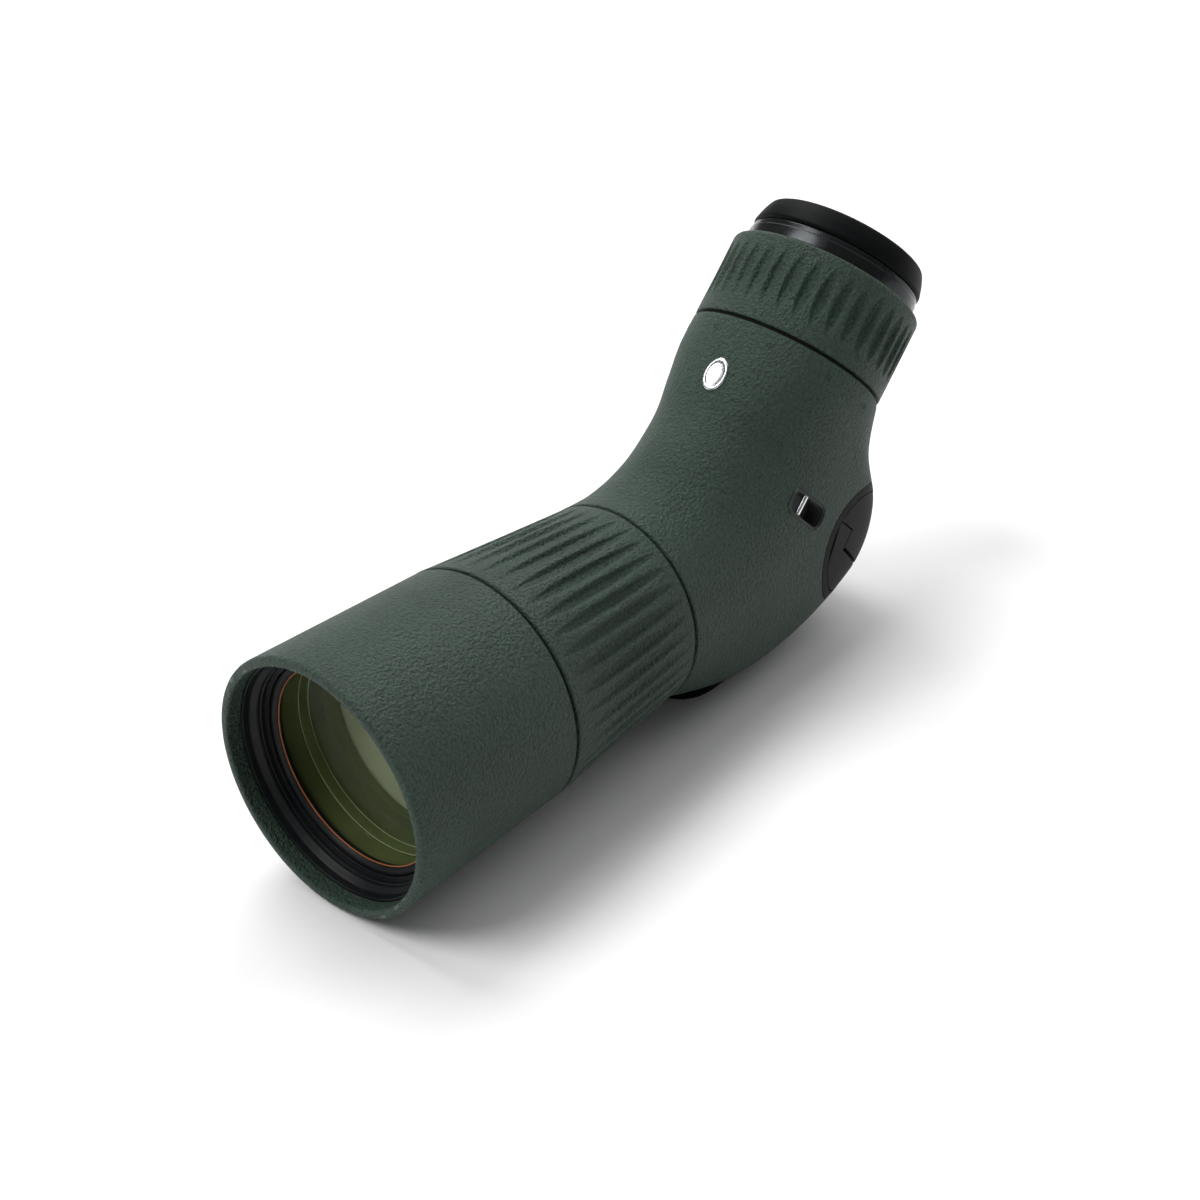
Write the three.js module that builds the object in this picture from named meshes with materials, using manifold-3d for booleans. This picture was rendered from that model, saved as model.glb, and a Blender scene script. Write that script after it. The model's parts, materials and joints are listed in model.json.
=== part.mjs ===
// Angled zoom spotting scope with a 56 mm objective, in millimetres, +Z up.
// The barrel runs along +Y from the objective rim; the eyepiece rises 45 degrees towards +Y.
// Inside the scope group the barrel axis is the Y axis and the objective rim is at y = 0.
// The group itself stands on Z = 0, with the foot's flat underside on the ground plane.

import * as THREE from "three";
import { mergeVertices } from "three/addons/utils/BufferGeometryUtils.js";
import { LoftGeometry } from "three/addons/geometries/LoftGeometry.js";
import Module from "manifold-3d";

const wasm = await Module();
wasm.setup();

// ---------------------------------------------------------------- driving dimensions

const GAP = 0.3; // clearance between pieces that sit against each other
const SEAM = 1.0; // width of the dark grooves between the rubber sleeves

const RIM_R = 36.4; // outer radius of the objective rim
const RIM_BORE_R = 33.6; // inner radius of the rim's rubber lip
const RIM_FRONT_Y = -1.2; // the lip stands this far ahead of y = 0
const FRONT_END_Y = 56.0; // where the front sleeve ends and the focus ring begins
const FRONT_END_R = 34.6;
const FOCUS_END_Y = 110.0; // where the focus ring ends and the body begins
const FOCUS_END_R = 30.0;
const NECK_R = 23.6; // barrel tube under the focus ring
const NECK_END_Y = 118.5;
const NECK_BORE_R = 21.8;

const LENS_R = 29.8; // objective elements, edge radius
const CLEAR_R = 28.0; // half of the clear aperture
const LENS_FRONT_Y = 12.4;

const BEND_Y = 142.5; // where the barrel axis meets the eyepiece axis
const BEND = Math.PI / 4;
const BODY_END_T = 65.0; // distances along the eyepiece axis from the bend are called t
const EYEPIECE_R = 29.8;
const ZOOM_END_T = 92.0;
const ZOOM_END_R = 29.8;
const EYE_TUBE_R = 23.6;
const EYE_TUBE_BORE_R = 22.0;
const EYE_TUBE_START_T = 44.0;
const COLLAR_R = 26.9; // fixed black collar above the zoom ring
const COLLAR_END_T = 97.4;
const CUP_END_T = 105.3;
const CUP_END_R = 24.8;

const RUBBER = 1.6; // thickness of the body's rubber armour
const FRAME_WALL = 2.0; // thickness of the metal housing under it

const PORT_Y = 191.7; // centre of the round cover on the heel, cut along X
const PORT_Z = -7.1;
const PORT_R = 19.1;
const PORT_COVER_R = 16.1;
const HEEL_R = 22.4; // the heel's profile, concentric with the cover

const FOOT_Z = -37.4; // the foot's flat underside
const FOOT_START_Y = 125;
const FOOT_END_Y = 176;
const FOOT_HALF_WIDTH = 15;
const BUSHES = {
  large: { y: 156.5, radius: 8, threadR: 4.3 }, // takes a 3/8 inch tripod screw
  small: { y: 140.5, radius: 5, threadR: 2.75 }, // takes a 1/4 inch tripod screw
};
const BUSH_LENGTH = 11;
const FOOT_RECESS = 0.4; // bushes and screws lie this far above the foot's underside
const FOOT_SCREW_R = 1.6;
const FOOT_SCREW_HEAD_R = 2.8;

const POCKET_T = 27.2; // strap recess in each flank, placed along and across the eyepiece axis
const POCKET_V = -3.7;
const POCKET_LENGTH = 17;
const POCKET_WIDTH = 7.2;
const POCKET_FLOOR_X = 22;
const POCKET_WALL = 0.6;
const STRAP_PIN_R = 0.8;
const STRAP_PIN_X = 26.4;
const STRAP_PIN_V = -0.55;

const BADGE_T = 47.5;
const BADGE_HALF = [3.6, 5]; // half width and half height of the oval

// Scalloped flutes around the two rings: how many, the angle of one crest from the upright, and
// where they start and end as fractions of the ring's length.
const FOCUS_FLUTES = { count: 40, crestDegrees: 4.6, from: 0.07, to: 0.95 };
const ZOOM_FLUTES = { count: 36, crestDegrees: 0.5, from: 0.2, to: 0.84 };
const FLUTE_DEPTH = 1.0;

const FOCUS_CELL_Y = [74, 96]; // both ends of the focusing lens cell, in mid travel
const FOCUS_PIN_Y = 84;
const FOCUS_PIN_R = 1.3;
const FOCUS_SLOT = 30; // length of the guide pin's slot in the barrel tube

const SMOOTH = 40; // facets around the outer sleeves and running fits
const PLAIN = 20; // facets around hidden rings and lenses

// ---------------------------------------------------------------- materials

const LOOKS = {
  armour: [0x4c5a50, 0.75, 0],
  blackRubber: [0x1b1c1c, 0.6, 0],
  blackMetal: [0x1a1c1d, 0.45, 0.6],
  housing: [0x3c3f40, 0.5, 0.8],
  steel: [0xb8babc, 0.3, 1],
  glass: [0x39402a, 0.05, 0],
  accent: [0xc9763a, 0.35, 0.8],
};

function look(name) {
  const [color, roughness, metalness] = LOOKS[name];
  return new THREE.MeshStandardMaterial({ color, roughness, metalness });
}

// ---------------------------------------------------------------- helpers

const scope = new THREE.Group();
const eyepiece = new THREE.Group(); // its Y axis is the eyepiece axis, its Z axis points up its front
eyepiece.position.y = BEND_Y;
eyepiece.rotation.x = BEND;
scope.add(eyepiece);

function place(group, name, geometry, lookName) {
  const mesh = new THREE.Mesh(geometry, look(lookName));
  mesh.name = name;
  group.add(mesh);
  return mesh;
}

function solid(geometry) {
  const bare = new THREE.BufferGeometry().copy(geometry);
  bare.deleteAttribute("normal");
  bare.deleteAttribute("uv");
  const merged = mergeVertices(bare, 1e-3);
  return new wasm.Manifold(
    new wasm.Mesh({
      numProp: 3,
      vertProperties: merged.attributes.position.array,
      triVerts: new Uint32Array(merged.index.array),
    }),
  );
}

function geometryOf(manifold) {
  const mesh = manifold.getMesh();
  const geometry = new THREE.BufferGeometry();
  geometry.setAttribute("position", new THREE.BufferAttribute(mesh.vertProperties, 3));
  geometry.setIndex(new THREE.BufferAttribute(mesh.triVerts, 1));
  geometry.computeVertexNormals();
  return geometry;
}

// Turns a closed outline of [radius, y] points about the Y axis.
function turned(outline, facets = PLAIN) {
  const points = outline.map(([r, y]) => new THREE.Vector2(r, y));
  if (THREE.ShapeUtils.area(points) < 0) points.reverse();
  points.push(points[0].clone());
  return new THREE.LatheGeometry(points, facets);
}

function ring(innerR, outerR, y0, y1, facets = PLAIN) {
  return turned([[innerR, y0], [outerR, y0], [outerR, y1], [innerR, y1]], facets);
}

// A round element; each sag is how far that face bulges out past its edge.
function lens(radius, y0, y1, sag0, sag1) {
  const steps = [1, 0.55, 0];
  const front = steps.map((k) => new THREE.Vector2(radius * k, y0 - sag0 * (1 - k * k)));
  const back = steps.map((k) => new THREE.Vector2(radius * k, y1 + sag1 * (1 - k * k)));
  return new THREE.LatheGeometry([...front.reverse(), ...back], PLAIN);
}

// A round bar along X, Y or Z between two positions on that axis.
function bar(axis, radius, from, to, at, facets = PLAIN) {
  const geometry = new THREE.CylinderGeometry(radius, radius, to - from, facets);
  if (axis === "x") geometry.rotateZ(-Math.PI / 2);
  if (axis === "z") geometry.rotateX(Math.PI / 2);
  const middle = new THREE.Vector3(...at);
  middle[axis] = (from + to) / 2;
  return geometry.translate(...middle);
}

// An outline given in (y, z), extruded along X from one position to another.
function slab(outline, x0, x1) {
  const shape = outline instanceof THREE.Shape ? outline : new THREE.Shape(outline);
  const geometry = new THREE.ExtrudeGeometry(shape, {
    depth: x1 - x0,
    bevelEnabled: false,
    curveSegments: 4,
  });
  const turn = new THREE.Matrix4().makeBasis(
    new THREE.Vector3(0, 1, 0),
    new THREE.Vector3(0, 0, 1),
    new THREE.Vector3(1, 0, 0),
  );
  return geometry.applyMatrix4(turn).translate(x0, 0, 0);
}

function roundedRectangle(u0, u1, v0, v1, corner) {
  const shape = new THREE.Shape();
  shape.absarc(u1 - corner, v0 + corner, corner, -Math.PI / 2, 0);
  shape.absarc(u1 - corner, v1 - corner, corner, 0, Math.PI / 2);
  shape.absarc(u0 + corner, v1 - corner, corner, Math.PI / 2, Math.PI);
  shape.absarc(u0 + corner, v0 + corner, corner, Math.PI, Math.PI * 1.5);
  return shape;
}

// The same place in the scope group for a geometry drawn in the eyepiece group's frame.
function fromEyepiece(geometry) {
  return geometry.rotateX(BEND).translate(0, BEND_Y, 0);
}

// ---------------------------------------------------------------- body form

// Each station spans the body from its upper to its lower profile, both given as (y, z).
// half is half its width. crown and keel say how boxy its upper and lower halves are: 2 is
// an ellipse, and more is boxier.
const lineAcross = (t, v) => [
  BEND_Y + (t - v) * Math.SQRT1_2,
  (t + v) * Math.SQRT1_2,
];
const heelAt = (degrees) => [
  PORT_Y + HEEL_R * Math.cos(THREE.MathUtils.degToRad(degrees)),
  PORT_Z + HEEL_R * Math.sin(THREE.MathUtils.degToRad(degrees)),
];
const BODY_START_Y = FOCUS_END_Y + SEAM;
const STATIONS = [
  { top: [BODY_START_Y, FOCUS_END_R], low: [BODY_START_Y, -FOCUS_END_R], half: 30, crown: 2, keel: 2 },
  { top: [115.5, 30.1], low: [123, -33.5], half: 30, crown: 2, keel: 2.2 },
  { top: [120.5, 30.8], low: [141, -36], half: 29.6, crown: 2, keel: 2.7 },
  { top: [127.5, 33.2], low: [162, -35.6], half: 29, crown: 2, keel: 3 },
  { top: [135, 38], low: [184, -32.4], half: 28.4, crown: 2, keel: 3.1 },
  { top: lineAcross(34, 29.2), low: heelAt(-52), half: 28, crown: 2.3, keel: 3 },
  { top: lineAcross(44, 29.3), low: heelAt(-8), half: 28.3, crown: 2.5, keel: 2.6 },
  { top: lineAcross(54.5, 29.6), low: [208.6, 9], half: 28.8, crown: 2.4, keel: 2.2 },
  {
    top: lineAcross(BODY_END_T, EYEPIECE_R),
    low: lineAcross(BODY_END_T, -EYEPIECE_R),
    half: EYEPIECE_R,
    crown: 2,
    keel: 2,
  },
];
const FINE = { rows: 14, columns: 32 }; // facets of the visible skin
const COARSE = { rows: 8, columns: 24 }; // facets of the hidden walls

function stationCurve(pick) {
  return new THREE.SplineCurve(STATIONS.map((s) => new THREE.Vector2(...pick(s))));
}
const topLine = stationCurve((s) => s.top);
const lowLine = stationCurve((s) => s.low);
const halfLine = stationCurve((s) => [s.half, 0]);
const boxLine = stationCurve((s) => [s.crown, s.keel]);

// The closed section a fraction u of the way from the focus ring to the zoom ring.
function bodySection(u, inset, columns) {
  const [top, low] = [topLine.getPoint(u), lowLine.getPoint(u)];
  const half = halfLine.getPoint(u).x;
  const { x: crown, y: keel } = boxLine.getPoint(u);
  const middle = top.clone().add(low).multiplyScalar(0.5);
  const up = top.clone().sub(low);
  const height = up.length() / 2 - inset;
  up.normalize();
  return Array.from({ length: columns }, (_, i) => {
    const angle = (-2 * Math.PI * i) / columns;
    const power = 2 / (Math.sin(angle) < 0 ? keel : crown);
    const bulge = (c) => Math.sign(c) * Math.abs(c) ** power;
    const across = (half - inset) * bulge(Math.cos(angle));
    const along = height * bulge(Math.sin(angle));
    return new THREE.Vector3(across, middle.x + up.x * along, middle.y + up.y * along);
  });
}

// The body's outer form moved inwards by inset, and run out past both ends by overrun.
function bodyForm(inset, overrun = 0, { rows, columns } = FINE) {
  const sections = [];
  for (let row = 0; row <= rows; row++) {
    sections.push(bodySection(row / rows, inset, columns));
  }
  if (overrun > 0) {
    const before = sections[0].map((p) => p.clone().add(new THREE.Vector3(0, -overrun, 0)));
    const away = new THREE.Vector3(0, overrun * Math.SQRT1_2, overrun * Math.SQRT1_2);
    const after = sections[rows].map((p) => p.clone().add(away));
    sections.unshift(before);
    sections.push(after);
  }
  return solid(new LoftGeometry(sections, { capStart: true, capEnd: true }));
}

// ---------------------------------------------------------------- fluted grips

// A rubber grip between two radii, with pointed flutes that fade in and out along it.
function flutedGrip([y0, r0], [y1, r1], [boreR0, boreR1], flutes) {
  const ROWS = 4;
  const columns = flutes.count * 2;
  const crest = THREE.MathUtils.degToRad(flutes.crestDegrees);
  const sections = [];
  const section = (y, radiusAt) =>
    Array.from({ length: columns }, (_, i) => {
      const angle = crest + (2 * Math.PI * i) / columns;
      const r = radiusAt(i);
      return new THREE.Vector3(r * Math.sin(angle), y, r * Math.cos(angle));
    });
  const radiusOn = (k) => THREE.MathUtils.lerp(r0, r1, k);
  const edge = 0.7; // rounding at both ends of the grip
  sections.push(section(y0, () => r0 - edge));
  sections.push(section(y0 + edge, () => r0));
  for (let row = 0; row <= ROWS; row++) {
    const k = THREE.MathUtils.lerp(flutes.from, flutes.to, row / ROWS);
    const depth = FLUTE_DEPTH * Math.sin((Math.PI * row) / ROWS) ** 0.7;
    const y = THREE.MathUtils.lerp(y0, y1, k);
    sections.push(section(y, (i) => radiusOn(k) - (i % 2 ? depth : 0)));
  }
  sections.push(section(y1 - edge, () => r1));
  sections.push(section(y1, () => r1 - edge));
  const outside = solid(new LoftGeometry(sections, { capStart: true, capEnd: true }));
  const overrun = 1;
  const slope = (boreR1 - boreR0) / (y1 - y0);
  const bore = turned(
    [
      [0, y0 - overrun],
      [boreR0 - slope * overrun, y0 - overrun],
      [boreR1 + slope * overrun, y1 + overrun],
      [0, y1 + overrun],
    ],
    SMOOTH,
  );
  return geometryOf(outside.subtract(solid(bore)));
}

// ---------------------------------------------------------------- objective barrel

function addFrontArmour() {
  const endBore = FRONT_END_R - 1.7;
  const outline = [
    [RIM_BORE_R, 3.2],
    [RIM_BORE_R, RIM_FRONT_Y + 0.9],
    [RIM_BORE_R + 0.7, RIM_FRONT_Y + 0.15],
    [RIM_R - 1.4, RIM_FRONT_Y],
    [RIM_R - 0.4, RIM_FRONT_Y + 0.5],
    [RIM_R, RIM_FRONT_Y + 1.6],
    [FRONT_END_R, FRONT_END_Y - 0.6],
    [FRONT_END_R - 0.6, FRONT_END_Y],
    [endBore, FRONT_END_Y],
    [RIM_R - 2.4, 3.2],
  ];
  place(scope, "front_armour", turned(outline, SMOOTH), "armour");
}

function addBarrelTube() {
  const hoodOuter = RIM_R - 2.4 - GAP;
  const outline = [
    [hoodOuter, 3.5],
    [FRONT_END_R - 1.7 - GAP, FRONT_END_Y - 0.2],
    [NECK_R, FRONT_END_Y - 0.2],
    [NECK_R, NECK_END_Y],
    [NECK_BORE_R, NECK_END_Y],
    [NECK_BORE_R, 53],
    [LENS_R + GAP, 50],
    [LENS_R + GAP, 9.6],
    [31.2, 9.6],
    [31.4, 7.6],
    [32.6, 7.0],
    [33.0, 3.5],
  ];
  const tube = solid(turned(outline, SMOOTH));
  const slotWidth = 2 * FOCUS_PIN_R + 0.8;
  const slot = solid(new THREE.BoxGeometry(slotWidth, FOCUS_SLOT, 4).translate(0, FOCUS_PIN_Y, NECK_R));
  place(scope, "barrel_tube", geometryOf(tube.subtract(slot)), "blackMetal");
}

function addObjective() {
  place(scope, "objective_retaining_ring", objectiveRetainer(), "blackMetal");
  place(scope, "objective_accent_ring", ring(27.4, CLEAR_R - 0.1, 10.9, 11.9, SMOOTH), "accent");
  const frontY = LENS_FRONT_Y + GAP;
  place(scope, "objective_front_lens", lens(LENS_R, frontY, frontY + 6, -0.1, 0.9), "glass");
  place(scope, "objective_front_spacer", ring(28.9, LENS_R, 19.0, 21.8), "blackMetal");
  place(scope, "objective_middle_lens", lens(LENS_R, 22.2, 27.2, 0.4, -1.2), "glass");
  place(scope, "objective_rear_spacer", ring(25.9, LENS_R, 27.6, 30.0), "blackMetal");
  place(scope, "objective_rear_lens", lens(LENS_R, 30.4, 34.8, -0.6, 0.8), "glass");
  place(scope, "objective_clamp_ring", ring(26.4, LENS_R, 35.2, 37.6), "blackMetal");
  place(scope, "barrel_light_baffle", ring(24.8, LENS_R, 41, 42.2), "blackMetal");
}

// A threaded ring with two spanner notches in its front face.
function objectiveRetainer() {
  const blank = solid(ring(CLEAR_R + 0.2, LENS_R, 10.0, LENS_FRONT_Y, SMOOTH));
  const notch = new THREE.BoxGeometry(2 * LENS_R + 4, 1.4, 2).translate(0, 10.2, 0);
  return geometryOf(blank.subtract(solid(notch)));
}

// ---------------------------------------------------------------- focusing

const FOCUS_GRIP_START_Y = FRONT_END_Y + SEAM;
const FOCUS_GRIP_BORE = [32.4, 28.0]; // radii at its two ends

function addFocusRing() {
  const front = [FOCUS_GRIP_START_Y, FRONT_END_R];
  const grip = flutedGrip(front, [FOCUS_END_Y, FOCUS_END_R], FOCUS_GRIP_BORE, FOCUS_FLUTES);
  place(scope, "focus_ring_grip", grip, "armour");
  const inside = [
    [FOCUS_GRIP_BORE[0] - GAP, FOCUS_GRIP_START_Y + 0.4],
    [FOCUS_GRIP_BORE[1] - GAP, FOCUS_END_Y - 0.4],
    [NECK_R + 0.4, FOCUS_END_Y - 0.4],
    [NECK_R + 0.4, 72],
    [30, 70],
    [30, FOCUS_GRIP_START_Y + 0.4],
  ];
  place(scope, "focus_ring_sleeve", turned(inside, SMOOTH), "blackMetal");
  const frontSeal = ring(30.6, FRONT_END_R - 1.0, FRONT_END_Y + 0.2, FOCUS_GRIP_START_Y - 0.2);
  place(scope, "focus_front_seal", frontSeal, "blackRubber");
  const rearSeal = ring(NECK_R + 0.6, FOCUS_END_R - 1.0, FOCUS_END_Y + 0.2, BODY_START_Y - 0.2);
  place(scope, "focus_rear_seal", rearSeal, "blackRubber");
}

function addFocusingLens() {
  const cellR = NECK_BORE_R - 0.2;
  const [start, end] = FOCUS_CELL_Y;
  const seatY = end - 5.8; // shoulder that the lens rests on
  const cell = [
    [cellR, start],
    [cellR, end],
    [19, end],
    [19, seatY],
    [17.2, seatY],
    [17.2, start],
  ];
  place(scope, "focusing_lens_cell", turned(cell, SMOOTH), "blackMetal");
  place(scope, "focusing_lens", lens(18.7, seatY + 0.4, seatY + 4, -0.5, -1.0), "glass");
  const pin = bar("z", FOCUS_PIN_R, cellR + GAP, NECK_R, [0, FOCUS_PIN_Y, 0], 12);
  place(scope, "focus_guide_pin", pin, "steel");
}

// ---------------------------------------------------------------- body

function addBody() {
  const outer = bodyForm(0);
  const underRubber = bodyForm(RUBBER, 4, COARSE);
  const housingOuter = bodyForm(RUBBER + GAP, 0, COARSE);
  const housingInner = bodyForm(RUBBER + GAP + FRAME_WALL, 4, COARSE);
  const portCut = solid(portCylinder(PORT_R + GAP));
  const pocketCuts = [-1, 1].map((side) => solid(pocketBlock(side, GAP, 40)));
  const badgeCut = solid(badgePlate(GAP, EYEPIECE_R - 0.9, 2));
  let armour = outer.subtract(underRubber).subtract(badgeCut);
  let housing = housingOuter.subtract(housingInner).add(bulkheads(housingOuter));
  for (const cut of [portCut, ...pocketCuts, ...footHoles()]) {
    armour = armour.subtract(cut);
    housing = housing.subtract(cut);
  }
  place(scope, "body_armour", geometryOf(armour), "armour");
  place(scope, "body_housing", geometryOf(housing), "housing");
}

// Two walls of the housing with the bores that hold the barrel tube and the eyepiece tube.
function bulkheads(housingOuter) {
  const frontWall = solid(ring(NECK_R + GAP, 45, BODY_START_Y - 1, BODY_START_Y + 3.2, SMOOTH));
  const rearWall = solid(
    fromEyepiece(ring(EYE_TUBE_R + GAP, 45, BODY_END_T - 3.4, BODY_END_T + 1, SMOOTH)),
  );
  return frontWall.add(rearWall).intersect(housingOuter);
}

function addLockRings() {
  const barrelRing = ring(NECK_R + 0.5, NECK_R + 1.6, BODY_START_Y + 3.6, NECK_END_Y - 0.2);
  place(scope, "barrel_lock_ring", barrelRing, "blackMetal");
  const t1 = BODY_END_T - 3.8;
  place(eyepiece, "eyepiece_lock_ring", ring(EYE_TUBE_R + 0.5, EYE_TUBE_R + 1.3, t1 - 2, t1), "blackMetal");
}

// ---------------------------------------------------------------- prism

// Schmidt roof prism: light enters square to the barrel axis and leaves square to the eyepiece axis.
const PRISM_REACH = 21; // from its top edge to each optical axis
const PRISM_FACE = 40; // length of the entry and exit faces
const PRISM_HALF_WIDTH = 14;
const PRISM_ENTRY_Y = BEND_Y - PRISM_REACH * Math.tan(BEND / 2);

function prismCorners() {
  const top = new THREE.Vector2(PRISM_ENTRY_Y, PRISM_REACH);
  const entryEnd = new THREE.Vector2(PRISM_ENTRY_Y, PRISM_REACH - PRISM_FACE);
  const exitEnd = top.clone().add(
    new THREE.Vector2(PRISM_FACE * Math.SQRT1_2, -PRISM_FACE * Math.SQRT1_2),
  );
  return [top, entryEnd, exitEnd];
}

function addPrism() {
  const [top, entryEnd, exitEnd] = prismCorners();
  const block = solid(slab([top, entryEnd, exitEnd], -PRISM_HALF_WIDTH, PRISM_HALF_WIDTH));
  // The roof: two faces at a right angle that meet along the line from entryEnd to exitEnd.
  const w = PRISM_HALF_WIDTH + 1;
  const roof = new THREE.Shape([
    new THREE.Vector2(0, 0),
    new THREE.Vector2(w, w),
    new THREE.Vector2(w, 60),
    new THREE.Vector2(-w, 60),
    new THREE.Vector2(-w, w),
  ]);
  const run = new THREE.ExtrudeGeometry(roof, { depth: 80, bevelEnabled: false });
  const along = exitEnd.clone().sub(entryEnd).normalize();
  const basis = new THREE.Matrix4().makeBasis(
    new THREE.Vector3(1, 0, 0),
    new THREE.Vector3(0, -along.y, along.x),
    new THREE.Vector3(0, -along.x, -along.y),
  );
  const start = exitEnd.clone().addScaledVector(along, 20);
  run.applyMatrix4(basis).translate(0, start.x, start.y);
  place(scope, "roof_prism", geometryOf(block.intersect(solid(run))), "glass");
}

// Two cheeks beside the prism, tied by three cross bars that bear on its edges.
function addPrismCradle() {
  const [top, entryEnd, exitEnd] = prismCorners();
  const cheekStart = PRISM_HALF_WIDTH + GAP;
  const cheekEnd = cheekStart + 2.5;
  const outline = [
    new THREE.Vector2(top.x - 4, top.y - 1.5),
    new THREE.Vector2(entryEnd.x - 4, entryEnd.y - 3.5),
    new THREE.Vector2(entryEnd.x + 5, entryEnd.y - 4),
    new THREE.Vector2(exitEnd.x + 4.5, exitEnd.y - 2),
    new THREE.Vector2(exitEnd.x + 4.5, exitEnd.y + 3),
  ];
  let cradle = solid(slab(outline, cheekStart, cheekEnd));
  cradle = cradle.add(solid(slab(outline, -cheekEnd, -cheekStart)));
  const tie = (y, z, deep, high) =>
    solid(new THREE.BoxGeometry(2 * cheekEnd - 1, deep, high).translate(0, y, z));
  cradle = cradle.add(tie(top.x - 2, top.y - 3.8, 3, 4));
  cradle = cradle.add(tie(entryEnd.x, entryEnd.y - 2, 6, 2.6));
  cradle = cradle.add(tie(exitEnd.x + 2.6, exitEnd.y + 0.2, 3, 4));
  place(scope, "prism_cradle", geometryOf(cradle), "housing");
}

// ---------------------------------------------------------------- eyepiece and zoom

const EYE_NOSE_R = 22.4; // the tube's slimmer lower end
const EYE_NOSE_BORE_R = 21.0;
const EYE_NOSE_END_T = 54.0;

function addEyepieceTube() {
  const outline = [
    [EYE_NOSE_BORE_R, EYE_TUBE_START_T],
    [EYE_NOSE_R, EYE_TUBE_START_T],
    [EYE_NOSE_R, EYE_NOSE_END_T],
    [EYE_TUBE_R, EYE_NOSE_END_T],
    [EYE_TUBE_R, ZOOM_END_T + 0.5],
    [COLLAR_R, ZOOM_END_T + 0.5],
    [COLLAR_R, COLLAR_END_T - 0.5],
    [COLLAR_R - 0.5, COLLAR_END_T],
    [EYE_TUBE_BORE_R, COLLAR_END_T],
    [EYE_TUBE_BORE_R, EYE_NOSE_END_T + 2],
    [EYE_NOSE_BORE_R, EYE_NOSE_END_T + 1],
  ];
  place(eyepiece, "eyepiece_tube", turned(outline, SMOOTH), "blackMetal");
  place(eyepiece, "field_lens", lens(20.7, 45.5, 48.5, 1.0, 0.4), "glass");
  place(eyepiece, "field_stop", ring(13, 20.7, 51, 52.2), "blackMetal");
}

const ZOOM_START_T = BODY_END_T + SEAM;
const ZOOM_BORE_R = 27.6;

function addZoomRing() {
  const bore = [ZOOM_BORE_R, ZOOM_BORE_R];
  const lower = [ZOOM_START_T, EYEPIECE_R];
  const grip = flutedGrip(lower, [ZOOM_END_T, ZOOM_END_R], bore, ZOOM_FLUTES);
  place(eyepiece, "zoom_ring_grip", grip, "armour");
  const sleeve = ring(
    EYE_TUBE_R + 0.4, ZOOM_BORE_R - GAP, ZOOM_START_T + 0.3, ZOOM_END_T - 0.3, SMOOTH,
  );
  place(eyepiece, "zoom_cam_sleeve", sleeve, "blackMetal");
  const seal = ring(EYE_TUBE_R + 0.6, EYEPIECE_R - 1.0, BODY_END_T + 0.2, ZOOM_START_T - 0.2);
  place(eyepiece, "zoom_ring_seal", seal, "blackRubber");
}

// A lens cell that slides in the eyepiece tube, its lens, and the pin that the cam sleeve drives.
function addZoomCell(name, t, lensSags) {
  const cellR = EYE_TUBE_BORE_R - 0.2;
  const outline = [
    [cellR, t],
    [cellR, t + 7],
    [18, t + 7],
    [18, t + 1.5],
    [16.3, t + 1.5],
    [16.3, t],
  ];
  place(eyepiece, name + "_cell", turned(outline, SMOOTH), "blackMetal");
  place(eyepiece, name + "_lens", lens(17.7, t + 2.2, t + 5.6, ...lensSags), "glass");
}

const CARRIER_R = [19.1, 20.2]; // inner and outer radius of the eyecup's keyed carrier
const CUP_SLEEVE_R = [20.5, 21.6];
const EYECUP_BOTTOM_T = 83;

function addEyeLens() {
  const barrel = [
    [18.7, 82],
    [18.7, 97],
    [16.6, 97],
    [17.3, 94.2],
    [17.3, 84],
    [15.5, 82],
  ];
  place(eyepiece, "eye_lens_barrel", turned(barrel), "blackMetal");
  place(eyepiece, "eye_lens", lens(17.0, 87.4, 92.8, 1.2, 1.8), "glass");
}

function addEyecup() {
  const carrier = ring(...CARRIER_R, EYECUP_BOTTOM_T, 98.2, SMOOTH);
  place(eyepiece, "eyecup_carrier", carrier, "blackMetal");
  const sleeveTop = 99.4;
  const sleeve = [
    [CUP_SLEEVE_R[0], EYECUP_BOTTOM_T],
    [CUP_SLEEVE_R[1], EYECUP_BOTTOM_T],
    [CUP_SLEEVE_R[1], COLLAR_END_T + GAP],
    [24.8, COLLAR_END_T + GAP],
    [24.8, sleeveTop],
    [CUP_SLEEVE_R[0], sleeveTop],
  ];
  place(eyepiece, "eyecup_sleeve", turned(sleeve, SMOOTH), "blackMetal");
  const cup = [
    [25.1, COLLAR_END_T + GAP],
    [26.6, COLLAR_END_T + GAP],
    [26.9, COLLAR_END_T + 0.8],
    [CUP_END_R + 0.9, CUP_END_T - 1.8],
    [CUP_END_R, CUP_END_T - 0.5],
    [CUP_END_R - 1.2, CUP_END_T],
    [22.6, CUP_END_T - 0.6],
    [21.4, CUP_END_T - 2.2],
    [20.6, sleeveTop + GAP],
    [25.1, sleeveTop + GAP],
  ];
  place(eyepiece, "eyecup_rubber", turned(cup, SMOOTH), "blackRubber");
}

// ---------------------------------------------------------------- strap recesses

// A rounded block across one flank at the strap recess, grown by grow on every side.
function pocketBlock(side, grow, reach) {
  const halfT = POCKET_WIDTH / 2 + grow;
  const halfV = POCKET_LENGTH / 2 + grow;
  const outline = roundedRectangle(
    POCKET_T - halfT, POCKET_T + halfT, POCKET_V - halfV, POCKET_V + halfV, 2.4 + grow,
  );
  const x0 = POCKET_FLOOR_X - grow;
  const block = side > 0 ? slab(outline, x0, reach) : slab(outline, -reach, -x0);
  return fromEyepiece(block);
}

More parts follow.
